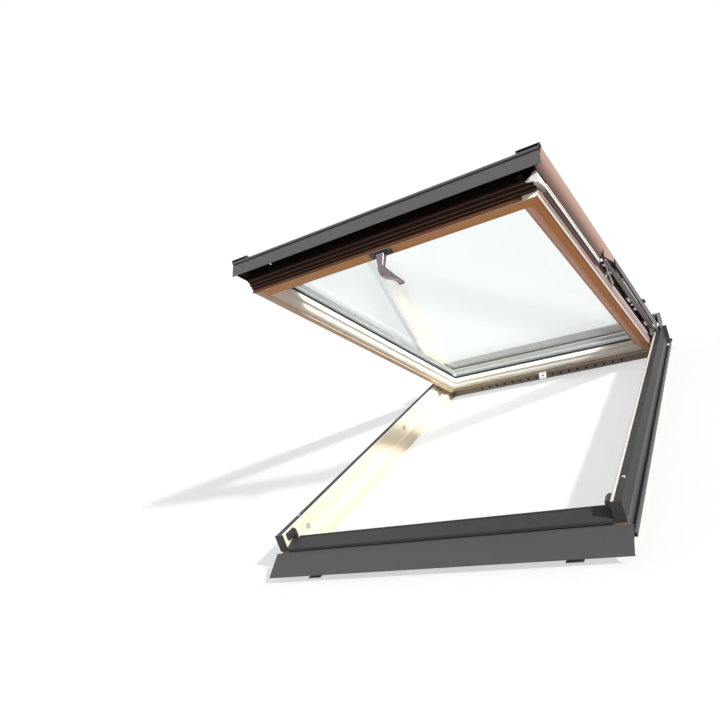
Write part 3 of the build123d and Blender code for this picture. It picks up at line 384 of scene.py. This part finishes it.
@dataclass(frozen=True)
class Moulded:
    """Moulded plastic or rubber with a fine grain."""

    GRAIN_NOISE: ClassVar[float] = 1400.0
    GRAIN_DEPTH: ClassVar[float] = 0.0003

    name: str
    colour: Triple
    roughness: float
    grain: float = 0.08
    zones: tuple[Zone, ...] = ()

    def build(self) -> bpy.types.Material:
        """A fine noise gives the moulding's grain.

        Returns:
            The material.
        """
        graph = Graph(self.name)
        fine = graph.noise(graph.place(), self.GRAIN_NOISE, detail=1.0)
        return graph.surface(Base_Color=graph.zoned(self.colour, self.zones),
                             Roughness=self.roughness,
                             Normal=graph.bump(fine, self.grain, self.GRAIN_DEPTH))


@dataclass(frozen=True)
class Metal:
    """Bare or plated metal."""

    CLOUD_NOISE: ClassVar[float] = 40.0
    CLOUD_ROUGH: ClassVar[float] = 0.1
    SPANGLE_CELLS: ClassVar[float] = 160.0

    name: str
    colour: Triple
    roughness: float
    spangle: float = 0.0

    def build(self) -> bpy.types.Material:
        """A cloudy noise varies the roughness; cells of different shade stand for zinc spangle.

        Returns:
            The material.
        """
        graph = Graph(self.name)
        at = graph.place()
        cloud = graph.noise(at, self.CLOUD_NOISE, detail=2.0)
        colour = self.colour
        if self.spangle:
            cells = graph.node("ShaderNodeTexVoronoi", {"feature": "F1"},
                               {"Vector": at, "Scale": self.SPANGLE_CELLS}, "Color")
            shade = graph.node("ShaderNodeSeparateColor", None, {"Color": cells})
            darker = tuple(c * (1 - self.spangle) for c in self.colour)
            colour = graph.mix(shade, darker, self.colour)
        rough = cloud * self.CLOUD_ROUGH + (self.roughness - self.CLOUD_ROUGH / 2)
        return graph.surface(Base_Color=colour, Metallic=1.0, Roughness=rough)


@dataclass(frozen=True)
class Glass:
    """Clear float glass that lets light through to what is behind it."""

    name: str
    tint: Triple = (0.945, 0.972, 0.972)
    ior: float = 1.5

    def build(self) -> bpy.types.Material:
        """A transmitting surface, swapped for plain transparency on shadow rays.

        Returns:
            The material.
        """
        graph = Graph(self.name)
        tint = rgba(self.tint)
        clear = graph.node("ShaderNodeBsdfPrincipled", None, {
            "Base Color": tint, "Roughness": 0.0, "IOR": self.ior, "Transmission Weight": 1.0})
        shade = graph.node("ShaderNodeBsdfTransparent", None, {"Color": tint})
        shadow = graph.node("ShaderNodeLightPath", output="Is Shadow Ray")
        graph.end(graph.mix_shaders(shadow, clear, shade))
        return graph.owner


Finish = Pine | CoatedSheet | Moulded | Metal | Glass
Finishes = tuple[tuple[Finish, tuple[str, ...]], ...]


@dataclass(frozen=True)
class Studio:
    """Floor, world, lamp and camera."""

    camera_place: Triple = (0.7994, -2.0471, 0.7983)
    right: Triple = (0.83379, 0.43865, -0.33522)
    up: Triple = (0.21123, 0.30752, 0.92780)
    back: Triple = (0.51007, -0.84440, 0.16375)
    lens: float = 33.86
    sensor: float = 36.0
    clip_start: float = 0.05
    sun_from: Triple = (0.80, -0.25, 0.54)
    sun_strength: float = 4.4
    sun_width: float = math.radians(3)
    sun_colour: Triple = (1.0, 0.965, 0.90)
    sky_colour: Triple = (0.92, 0.95, 1.0)
    sky_strength: float = 0.42
    floor_half: float = 30.0
    floor_drop: float = 0.0005
    floor_colour: Triple = (0.34, 0.34, 0.34)
    floor_glow: float = 0.62
    floor_fade: tuple[float, float] = (1.3, 2.6)
    ground_colour: Triple = (0.36, 0.31, 0.29)

    def build(self) -> None:
        """Make all of the stage."""
        self.world()
        self.lamp()
        self.floor()
        self.camera()
        bpy.context.scene.view_settings.view_transform = "Standard"

    def world(self) -> None:
        """Even light; camera, glossy and transmission rays see white."""
        graph = Graph("studio", bpy.data.worlds)
        bpy.context.scene.world = graph.owner
        light = graph.node("ShaderNodeBackground", None, {
            "Color": rgba(self.sky_colour), "Strength": self.sky_strength})
        white = graph.node("ShaderNodeBackground", None, {"Color": rgba(WHITE), "Strength": 1.0})
        graph.end(graph.mix_shaders(self.direct_rays(graph), light, white),
                  "ShaderNodeOutputWorld")

    @staticmethod
    def direct_rays(graph: Graph) -> Value:
        """One for camera, glossy and transmission rays, which see the white background.

        Args:
            graph: the tree that the nodes are added to.

        Returns:
            The factor.
        """
        rays = [graph.node("ShaderNodeLightPath", output=name)
                for name in ("Is Camera Ray", "Is Glossy Ray", "Is Transmission Ray")]
        return (rays[0] + rays[1] + rays[2]).smooth(0.0, 1.0)

    def lamp(self) -> None:
        """One soft sun from the right, the front and above."""
        lamp = bpy.data.lights.new("sun", "SUN")
        lamp.energy = self.sun_strength
        lamp.angle = self.sun_width
        lamp.color = self.sun_colour
        holder = bpy.data.objects.new("sun", lamp)
        bpy.context.scene.collection.objects.link(holder)
        holder.rotation_euler = self.towards(self.sun_from)

    @staticmethod
    def towards(source: Triple) -> Euler:
        """Turn of a lamp that shines from a direction towards the origin."""
        return (-Vector(source)).to_track_quat("-Z", "Y").to_euler()

    def floor(self) -> None:
        """A wide floor: white with a soft shadow when seen, a warm matt ground to other rays."""
        graph = Graph("floor")
        lit = graph.node("ShaderNodeBsdfDiffuse", None, {"Color": rgba(self.floor_colour)})
        glow = graph.node("ShaderNodeEmission", None, {
            "Color": rgba(WHITE), "Strength": self.floor_glow})
        near = graph.node("ShaderNodeAddShader", None, {0: lit, 1: glow})
        white = graph.node("ShaderNodeEmission", None, {"Color": rgba(WHITE), "Strength": 1.0})
        far = graph.node("ShaderNodeVectorMath", {"operation": "LENGTH"},
                         {0: graph.place(scale=(1, 1, 0))}, "Value")
        seen = graph.mix_shaders(far.smooth(*self.floor_fade), near, white)
        ground = graph.node("ShaderNodeBsdfDiffuse", None, {"Color": rgba(self.ground_colour)})
        graph.end(graph.mix_shaders(self.direct_rays(graph), ground, seen))
        mesh = bpy.data.meshes.new("floor")
        half = self.floor_half
        corners = [(-half, -half, 0), (half, -half, 0), (half, half, 0), (-half, half, 0)]
        mesh.from_pydata(corners, [], [(0, 1, 2, 3)])
        floor = bpy.data.objects.new("floor", mesh)
        floor.location.z = -self.floor_drop
        bpy.context.scene.collection.objects.link(floor)
        mesh.materials.append(graph.owner)

    def camera(self) -> None:
        """The photograph's camera, from its solved place and axes, which are made square."""
        camera = bpy.data.cameras.new("camera")
        camera.lens = self.lens
        camera.sensor_width = self.sensor
        camera.clip_start = self.clip_start
        holder = bpy.data.objects.new("camera", camera)
        bpy.context.scene.collection.objects.link(holder)
        axes = np.column_stack([self.right, self.up, self.back])
        square, _ = np.linalg.qr(axes)
        basis = np.eye(4)
        basis[:3, :3] = square * np.sign(np.sum(square * axes, axis=0))
        basis[:3, 3] = self.camera_place
        holder.matrix_world = Matrix(basis.tolist())
        bpy.context.scene.camera = holder


@dataclass
class Dresser:
    """Gives each node of the part its finish."""

    materials: dict[str, bpy.types.Material] = field(default_factory=dict)

    def material(self, finish: Finish) -> bpy.types.Material:
        """A finish's material, made once.

        Args:
            finish: the finish.

        Returns:
            Its material.
        """
        if finish.name not in self.materials:
            self.materials[finish.name] = finish.build()
        return self.materials[finish.name]

    def dress(self, names: tuple[str, ...], finish: Finish) -> None:
        """Put one finish on some nodes.

        Args:
            names: the nodes.
            finish: their finish.
        """
        material = self.material(finish)
        for name in names:
            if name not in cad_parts:
                log.warning("no node %s", name)
                continue
            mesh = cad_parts[name].data
            mesh.materials.clear()
            mesh.materials.append(material)
            log.info("%s: %s", name, finish.name)


# Zones follow the bands that the photograph shows on the sash's timber, trims and claddings
# and paint their light and shade: sunlit mouldings, arrises, front ends and lips, shaded sides,
# recesses and covers, and warm reflected light.
# Painted sunlight: the cream of the lit mouldings.
SUNLIT_MOULDING_CREAM = (0.95, 0.925, 0.87)
# Brown of the stile trims; the shaded stile side and the rubber band below reuse it as painted warm
# shade.
TRIM_BROWN = (0.30, 0.215, 0.205)
FLANGE_HEIGHT = Span(Axis.OUT, -0.030, 0.0235)

# Painted sunlight on the left stile's moulding.
SUNLIT_SIDE_MOULDING = Zone(SUNLIT_MOULDING_CREAM, (Span(Axis.ACROSS, 0.300, 0.4035),))
# Painted sunlight on the top rail's moulding.
SUNLIT_TOP_MOULDING = Zone(SUNLIT_MOULDING_CREAM, (Span(Axis.ALONG, 0.0, 0.0515),))
# Painted warm reflected light on the right stile's shaded moulding.
WARM_REFLECTION_MOULDING = Zone((0.86, 0.52, 0.40), (Span(Axis.ACROSS, 0.300, 0.4045),))
# Painted shade: the right stile's side in the cladding flange's shadow, in the trims' brown.
SHADED_STILE_SIDE = Zone(TRIM_BROWN, (Span(Axis.ACROSS, 0.4302, 0.440), Span(Axis.OUT, -0.0555, 0.02)))
# Painted shade: a dark line on the right stile's chamfer beside its sunlit arris.
ARRIS_SHADE_LINE = Zone((0.24, 0.105, 0.045), (Span(Axis.ACROSS, 0.4236, 0.440),
                                         Span(Axis.OUT, -0.070, -0.0555)))
# Painted sunlight: the right stile's lit arris.
SUNLIT_ARRIS = Zone((0.99, 0.97, 0.91), (Span(Axis.ACROSS, 0.4268, 0.440),
                                  Span(Axis.OUT, -0.070, -0.0560)))
# Painted sunlight on the front end of the right stile and the bottom rail.
SUNLIT_FRONT_END = Zone((0.98, 0.95, 0.86), (Span(Axis.ALONG, -1.230, -1.2095),))
# Painted warm shade at the inner edge of the side claddings' flange.
INNER_WARM_SHADE = Zone((0.150, 0.086, 0.080), (Span(Axis.ACROSS, 0.440, 0.470), FLANGE_HEIGHT), 1.0)
# Painted warm reflected light towards the outer edge of that flange.
OUTER_WARM_REFLECTION = Zone((0.400, 0.270, 0.222), (Span(Axis.ACROSS, 0.4565, 0.480, 0.0085),
                                           FLANGE_HEIGHT), 1.0)
# Painted warm shade: the seal rubbers along the stile's side take the trims' brown of that shaded
# band.
RUBBER_SHADE_BAND = Zone(TRIM_BROWN, (Span(Axis.ACROSS, 0.430, 0.4402),), 1.0)
OUTER_SHADE = Zone((0.026, 0.025, 0.026), (Span(Axis.ACROSS, 0.4695, 0.500),))
# Weather bar: painted shade on its top under the flange.
BAR_SHADED_TOP = Zone((0.016, 0.009, 0.007), (Span(Axis.OUT, -0.0265, 0.02),), 1.0)
# Painted sunlight on the bar's lips.
BAR_SUNLIT_LIPS = tuple(Zone((0.165, 0.098, 0.074), (Span(Axis.OUT, low, high),), 1.0)
                 for low, high in ((-0.0352, -0.0325), (-0.0434, -0.0410), (-0.0496, -0.0478)))
# Painted light on the bar's foot, below the flange's shadow.
BAR_LIT_FOOT = Zone((0.13, 0.055, 0.028), (Span(Axis.OUT, -0.064, -0.0514),), 1.0)

# The photograph's sun lights the left and upper timber and leaves the right stile and the
# bottom rail in warm shade. Part of that light and shade is painted into these tones: paler
# lit copies of the pine on the left jamb and left stile, orange shaded copies on the right
# stile and the bottom rail, and a darker shaded copy on the top rail.
SUNLIT_JAMB_LEFT = Pine("pine_jamb_left_sunlit", Grain.ALONG_Y, (0.92, 0.83, 0.68), (0.80, 0.64, 0.46))
JAMB_RIGHT = Pine("pine_jamb_right", Grain.ALONG_Y)
CROSS = Pine("pine_cross", Grain.ALONG_X)
LIT_STILE_LEFT = Pine("pine_stile_left_lit", Grain.ALONG_SASH, (0.76, 0.58, 0.42), (0.60, 0.43, 0.28),
                  zones=(SUNLIT_SIDE_MOULDING,))
SHADED_STILE_RIGHT = Pine("pine_stile_right_shaded", Grain.ALONG_SASH, (0.78, 0.34, 0.115),
                   (0.61, 0.235, 0.065), lacquer=0.02, gloss=0.12,
                   zones=(WARM_REFLECTION_MOULDING, SHADED_STILE_SIDE, ARRIS_SHADE_LINE, SUNLIT_ARRIS, SUNLIT_FRONT_END))
SHADED_RAIL_LOW = Pine("pine_rail_shaded", Grain.SASH_ACROSS, (0.82, 0.43, 0.17), (0.64, 0.29, 0.09),
                lacquer=0.02, gloss=0.15, zones=(SUNLIT_FRONT_END,))
SHADED_RAIL_TOP = Pine("pine_top_rail_shaded", Grain.SASH_ACROSS, (0.42, 0.31, 0.215), (0.31, 0.215, 0.14),
                zones=(SUNLIT_TOP_MOULDING,))

DARK_GREY = CoatedSheet("cladding_grey", (0.104, 0.101, 0.104), roughness=0.48, metallic=0.08,
                        gloss=0.24)
# Cladding with painted warm shade and reflected light on its flanges.
WARM_REFLECTION_GREY = replace(DARK_GREY, name="cladding_warm_reflection", zones=(INNER_WARM_SHADE, OUTER_WARM_REFLECTION))
LEAD_GREY = replace(DARK_GREY, name="flashing_grey", colour=(0.078, 0.077, 0.079), roughness=0.5)
FRAME_GREY = CoatedSheet("frame_grey", (0.058, 0.056, 0.058), roughness=0.5, gloss=0.12,
                         zones=(OUTER_SHADE,))
BROWN = CoatedSheet("brown_profile", (0.036, 0.016, 0.010), roughness=0.45, metallic=0.0,
                    gloss=0.2, zones=(BAR_SHADED_TOP, *BAR_SUNLIT_LIPS, BAR_LIT_FOOT))
TRIM = CoatedSheet("trim_brown", TRIM_BROWN, roughness=0.45, metallic=0.0)
INLET = CoatedSheet("inlet_brown", (0.36, 0.305, 0.26), roughness=0.42, metallic=0.1)
COVER = CoatedSheet("arm_cover_grey", (0.060, 0.048, 0.044), roughness=0.4, metallic=0.2)

BLACK_PLASTIC = Moulded("black_plastic", (0.018, 0.018, 0.02), 0.45)
WHITE_PLASTIC = Moulded("white_plastic", (0.80, 0.80, 0.79), 0.35, 0.03)
PLUG_GREY = Moulded("plug_grey", (0.40, 0.36, 0.41), 0.5)
RUBBER = Moulded("black_rubber", (0.014, 0.014, 0.015), 0.65)
# Black rubber with a band of painted warm shade along the stile's side.
SHADE_BANDED_RUBBER = Moulded("rubber_shade_band", (0.03, 0.026, 0.024), 0.6, zones=(RUBBER_SHADE_BAND,))

ZINC = Metal("zinc_plate", (0.62, 0.63, 0.65), 0.34, spangle=0.18)
ARM_ZINC = Metal("arm_zinc", (0.24, 0.20, 0.215), 0.36, spangle=0.12)
PLATE_ZINC = Metal("plate_zinc", (0.70, 0.66, 0.60), 0.40, spangle=0.08)
BRIGHT = Metal("bright_steel", (0.72, 0.72, 0.74), 0.22)
SATIN = Metal("satin_handle", (0.25, 0.205, 0.235), 0.22)
BLACK_SCREW = Metal("black_screw", (0.07, 0.07, 0.07), 0.35)
MILL = Metal("spacer_bar", (0.55, 0.57, 0.58), 0.35)

PANE = Glass("pane_glass")


def sash_point(points: np.ndarray) -> np.ndarray:
    """Points in the sash's own axes from the hinge, turned into the row frame.

    Args:
        points: (..., 3) in metres, across, along and out.

    Returns:
        The same points in the row frame: along and out are turned about X by the opening angle.
    """
    cos, sin = math.cos(OPEN_ANGLE), math.sin(OPEN_ANGLE)
    turn = np.array([[1, 0, 0], [0, cos, -sin], [0, sin, cos]])
    return HINGE + points @ turn


def both_sides(right: tuple[Triple, ...]) -> np.ndarray:
    """Places or directions on the right, followed by their mirror images on the left."""
    places = np.array(right)
    return np.concatenate([places, places * MIRROR])


@dataclass(frozen=True)
class Grid:
    """A mesh made from a numpy grid of points."""

    name: str
    body: str
    slot: str
    material: bpy.types.Material
    closed_rows: bool = False
    closed_columns: bool = False

    def build(self, grids: np.ndarray) -> None:
        """Quads join each point with its neighbours, wrapping round where a side is closed.

        Args:
            grids: points of shape (copies, rows, columns, 3), in metres in the row frame.
        """
        copies, rows, columns, _ = grids.shape
        index = np.arange(copies * rows * columns).reshape(copies, rows, columns)
        if self.closed_rows:
            index = np.concatenate([index, index[:, :1]], axis=1)
        if self.closed_columns:
            index = np.concatenate([index, index[:, :, :1]], axis=2)
        quads = np.stack([index[:, :-1, :-1], index[:, :-1, 1:], index[:, 1:, 1:],
                          index[:, 1:, :-1]], axis=-1)
        mesh = bpy.data.meshes.new(self.name)
        mesh.from_pydata(grids.reshape(-1, 3).tolist(), [], quads.reshape(-1, 4).tolist())
        mesh.polygons.foreach_set("use_smooth", np.ones(len(mesh.polygons), dtype=bool))
        mesh.materials.append(self.material)
        piece = bpy.data.objects.new(self.name, mesh)
        bpy.context.scene.collection.objects.link(piece)
        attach(piece, self.body)
        log.info("%s: %d faces", self.name, len(mesh.polygons))


@dataclass(frozen=True)
class CoilSpring:
    """Round wire wound about a line along the sash, on both sides of the window."""

    start: Triple = (0.4562, -0.288, 0.0)
    length: float = 0.180
    radius: float = 0.0039
    wire: float = 0.0009
    turns: int = 38
    steps_per_turn: int = 18
    around: int = 8

    def points(self) -> np.ndarray:
        """The wire's centre runs round the axis at the coil's radius while it advances along it.

        Round each centre point lies a circle of the wire's radius, spanned by the outward
        direction and the axis, and at both ends the circle shrinks to a point. The left spring is
        the right one mirrored in X, with its circles run the other way round, so that its faces
        point outwards too.

        Returns:
            Points of shape (2, steps, around, 3).
        """
        u = np.linspace(0.0, 1.0, self.turns * self.steps_per_turn)[:, None]
        v = np.linspace(0.0, 2 * np.pi, self.around, endpoint=False)[None, :]
        turn = 2 * np.pi * self.turns * u
        wire = self.wire * ((u > 0) & (u < 1))
        reach = self.radius + wire * np.cos(v)
        across = self.start[0] + reach * np.cos(turn)
        along = self.start[1] + self.length * u + wire * np.sin(v)
        out = self.start[2] + reach * np.sin(turn)
        right = np.stack(np.broadcast_arrays(across, along, out), axis=-1)
        return sash_point(np.stack([right, right[:, ::-1] * MIRROR]))


@dataclass(frozen=True)
class ScrewHeads:
    """Round screw heads with a cross recess."""

    RINGS: ClassVar[int] = 16
    AROUND: ClassVar[int] = 56
    DOME: ClassVar[float] = 0.55
    CROSS_END: ClassVar[float] = 0.66
    CROSS_FADE: ClassVar[float] = 0.12
    SIDEWAYS: ClassVar[float] = 0.9

    radius: float = 0.0044
    height: float = 0.0021
    slot: float = 0.16
    depth: float = 0.0013

    def points(self, centres: np.ndarray, normals: np.ndarray) -> np.ndarray:
        """A dome less a cross: its height falls with the square of the distance from the middle.

        The cross fades out before the rim, and a last ring closes the rim down to the seat.

        Args:
            centres: (heads, 3) middle of each head's seat.
            normals: (heads, 3) direction that each head faces.

        Returns:
            Points of shape (heads, rings, around, 3).
        """
        ring = np.concatenate([np.linspace(0.0, 1.0, self.RINGS), [1.0]])[:, None]
        angle = np.linspace(2 * np.pi, 0.0, self.AROUND, endpoint=False)[None, :]
        a, b = ring * np.cos(angle), ring * np.sin(angle)
        cross = np.minimum(np.abs(a), np.abs(b)) < self.slot / 2
        fade = np.clip((self.CROSS_END - ring) / self.CROSS_FADE, 0.0, 1.0)
        height = self.height * (1.0 - self.DOME * ring**2) - self.depth * cross * fade
        height[-1] = 0.0
        sideways = np.abs(normals[:, :1]) > self.SIDEWAYS
        helper = np.where(sideways, [[0.0, 1.0, 0.0]], [[1.0, 0.0, 0.0]])
        side = np.cross(normals, helper)
        side /= np.linalg.norm(side, axis=1, keepdims=True)
        other = np.cross(normals, side)
        spread = [centres, side * self.radius, other * self.radius, normals]
        centre, first, second, up = (part[:, None, None, :] for part in spread)
        a, b, height = (part[None, :, :, None] for part in (a, b, height))
        return centre + a * first + b * second + height * up

    def build(self, name: str, body: str, material: bpy.types.Material, centres: np.ndarray,
              normals: np.ndarray) -> None:
        """Make the heads of one set of screws.

        Args:
            name: the piece's name.
            body: the body that it rides on.
            material: its finish.
            centres: (heads, 3) middle of each head's seat.
            normals: (heads, 3) direction that each head faces.
        """
        grid = Grid(name, body, "bright_steel", material, closed_columns=True)
        grid.build(self.points(centres, normals))


@dataclass(frozen=True)
class InletScreen:
    """Insect screen between shutter and head: a fine weave behind the row of holes."""

    half: float = 0.318
    low: float = 0.0052
    high: float = 0.0236
    place: float = 0.6708
    pitch: float = 0.0018
    weave: float = 0.00025
    rows: int = 40
    columns: int = 1200

    def points(self) -> np.ndarray:
        """A sheet whose distance from the head waves as a product of two cosines.

        One cosine runs along the sheet and the other across it.

        Returns:
            Points of shape (1, rows, columns, 3).
        """
        x = np.linspace(-self.half, self.half, self.columns)[None, :]
        z = np.linspace(self.low, self.high, self.rows)[:, None]
        wave = self.weave * np.cos(2 * np.pi * x / self.pitch) * np.cos(2 * np.pi * z / self.pitch)
        return np.stack(np.broadcast_arrays(x, self.place + wave, z), axis=-1)[None]


@dataclass(frozen=True)
class GlazingLip:
    """Rubber lip that seals the room side of the pane against the timber's nose."""

    half: float = 0.373
    low: float = -1.143
    high: float = 0.021
    seat: float = -0.01605
    reach: float = 0.0042
    drop: float = 0.0055
    side_steps: int = 48
    section: int = 12

    def points(self) -> np.ndarray:
        """The loop runs round the opening; its section is a quarter of an ellipse at the nose.

        Along the loop the sides are stepped by a cosine, so the points are closest at the
        corners, and each section point lies in by its own distance from all four sides, which
        mitres the corners.

        Returns:
            Points of shape (1, steps, section, 3).
        """
        count = self.side_steps
        step = (1 - np.cos(np.pi * np.arange(count) / count)) / 2
        zero, one = np.zeros(count), np.ones(count)
        u = np.concatenate([2 * step - 1, one, 1 - 2 * step, -one])[:, None]
        v = np.concatenate([zero, step, one, 1 - step])[:, None]
        turn = np.linspace(np.pi / 2, 0.0, self.section)[None, :]
        inset = self.reach * np.cos(turn)
        out = self.seat - self.drop * np.sin(turn)
        across = u * (self.half - inset)
        along = self.low + inset + v * (self.high - self.low - 2 * inset)
        return sash_point(np.stack(np.broadcast_arrays(across, along, out), axis=-1)[None])


class Assembly:
    """A sub-assembly of the window, with the finishes of its nodes in a table."""

    FINISHES: ClassVar[Finishes] = ()

    def dress(self, dresser: Dresser) -> None:
        """Put the finishes on the nodes."""
        for finish, names in self.FINISHES:
            dresser.dress(names, finish)


@dataclass
class FixedFrame(Assembly):
    """The frame's timber, covers, flashings, inlet and hinge plates; places in the row frame."""

    FINISHES: ClassVar[Finishes] = (
        (SUNLIT_JAMB_LEFT, ("frame_jamb_left",)),
        (PLUG_GREY, ("jamb_plugs",)),
        (JAMB_RIGHT, ("frame_jamb_right",)),
        (CROSS, ("frame_head", "frame_sill")),
        (FRAME_GREY, ("side_cover_left", "side_cover_right", "sill_cover")),
        (DARK_GREY, ("head_hood", "hood_ends")),
        (LEAD_GREY, ("apron_flashing", "side_flashing_left", "side_flashing_right",
                     "head_flashing")),
        (BLACK_PLASTIC, ("cover_caps", "corner_buffers", "shutter_knob")),
        (RUBBER, ("sill_gasket",)),
        (INLET, ("air_inlet", "inlet_shutter")),
        (WHITE_PLASTIC, ("jamb_seals",)),
        (ZINC, ("hinge_plates", "fixing_brackets")),
        (BRIGHT, ("hinge_pins",)),
    )

    screen: InletScreen = field(default_factory=InletScreen)
    heads: ScrewHeads = field(default_factory=ScrewHeads)
    hinge_face: float = 0.440
    hinge_screws: tuple[tuple[float, float], ...] = ((0.541, 0.072), (0.628, 0.072),
                                                     (0.587, 0.096))
    cover_screw: Triple = (0.4622, -0.585, 0.109)

    def detail(self, dresser: Dresser) -> None:
        """Make the insect screen, the hinge screws and the covers' screws.

        Args:
            dresser: gives their finishes.
        """
        Grid("inlet_screen", "frame", "dark_plastic", dresser.material(BLACK_PLASTIC)).build(
            self.screen.points())
        bright = dresser.material(BRIGHT)
        hinges = both_sides(tuple((self.hinge_face, y, z) for y, z in self.hinge_screws))
        inward = both_sides(((-1.0, 0.0, 0.0),) * len(self.hinge_screws))
        self.heads.build("hinge_screws", "frame", bright, hinges, inward)
        covers = both_sides((self.cover_screw,))
        up = both_sides(((0.0, 0.0, 1.0),))
        self.heads.build("cover_screws", "frame", bright, covers, up)


@dataclass
class SideArms(Assembly):
    """The two arms that carry the sash."""

    FINISHES: ClassVar[Finishes] = (
        (ARM_ZINC, ("arm_left", "arm_right")),
        (COVER, ("upper_cover_left", "upper_cover_right")),
        (BRIGHT, ("spring_units", "spring_studs", "pivot_pins", "pivot_levers", "arm_clips")),
        (WHITE_PLASTIC, ("slide_shoes",)),
    )

    coil: CoilSpring = field(default_factory=CoilSpring)

    def detail(self, dresser: Dresser) -> None:
        """Make the coil springs over the rods.

        Args:
            dresser: gives their finish.
        """
        Grid("coil_springs", "arms", "bright_steel", dresser.material(BRIGHT),
             closed_columns=True).build(self.coil.points())


@dataclass
class Sash(Assembly):
    """The glazed sash and its handle; its places are in the sash's own axes from the hinge."""

    FINISHES: ClassVar[Finishes] = (
        (LIT_STILE_LEFT, ("sash_stile_left",)),
        (SHADED_STILE_RIGHT, ("sash_stile_right",)),
        (SHADED_RAIL_LOW, ("sash_bottom_rail",)),
        (SHADED_RAIL_TOP, ("sash_top_rail",)),
        (PANE, ("outer_pane", "inner_pane")),
        (MILL, ("pane_spacer",)),
        (RUBBER, ("glazing_gasket", "rim_gasket")),
        (SHADE_BANDED_RUBBER, ("seal_rubbers",)),
        (DARK_GREY, ("cladding_bottom", "cladding_upper_left", "cladding_upper_right",
                     "cladding_top")),
        (WARM_REFLECTION_GREY, ("cladding_left", "cladding_right")),
        (BROWN, ("weather_bar",)),
        (WHITE_PLASTIC, ("side_seals", "corner_blocks", "top_catch", "upper_seals")),
        (TRIM, ("stile_trims",)),
        (PLATE_ZINC, ("pivot_plates",)),
        (BLACK_PLASTIC, ("handle_base", "rib_ends")),
        (SATIN, ("handle_lever",)),
    )

    lip: GlazingLip = field(default_factory=GlazingLip)
    plate_heads: ScrewHeads = ScrewHeads(0.0038, 0.0014)
    plate_face: float = 0.434
    pivot: float = -0.578
    plate_screws: tuple[tuple[float, float], ...] = ((-0.034, 0.006), (0.034, 0.006),
                                                     (-0.034, -0.0275), (0.034, -0.0275))
    handle_heads: ScrewHeads = ScrewHeads(0.0034, 0.0013)
    handle_screw: Triple = (0.0225, -1.196, -0.068)

    def detail(self, dresser: Dresser) -> None:
        """Make the pane's lip and the screws of the pivot plates and of the handle's base.

        Args:
            dresser: gives their finishes.
        """
        Grid("glazing_lip", "sash", "rubber", dresser.material(RUBBER), closed_rows=True).build(
            self.lip.points())
        plates = both_sides(tuple((self.plate_face, self.pivot + along, out)
                                  for along, out in self.plate_screws))
        outward = both_sides(((1.0, 0.0, 0.0),) * len(self.plate_screws))
        self.plate_heads.build("plate_screws", "sash", dresser.material(BRIGHT),
                               sash_point(plates), outward)
        base = both_sides((self.handle_screw,))
        down = sash_point(both_sides(((0.0, 0.0, -1.0),))) - HINGE
        self.handle_heads.build("handle_screws", "sash", dresser.material(BLACK_SCREW),
                                sash_point(base), down)


def main() -> None:
    """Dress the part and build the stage."""
    logging.basicConfig(level=logging.INFO, format="%(message)s")
    dresser = Dresser()
    for assembly in (FixedFrame(), SideArms(), Sash()):
        assembly.dress(dresser)
        assembly.detail(dresser)
    Studio().build()


if __name__ == "__main__":
    main()
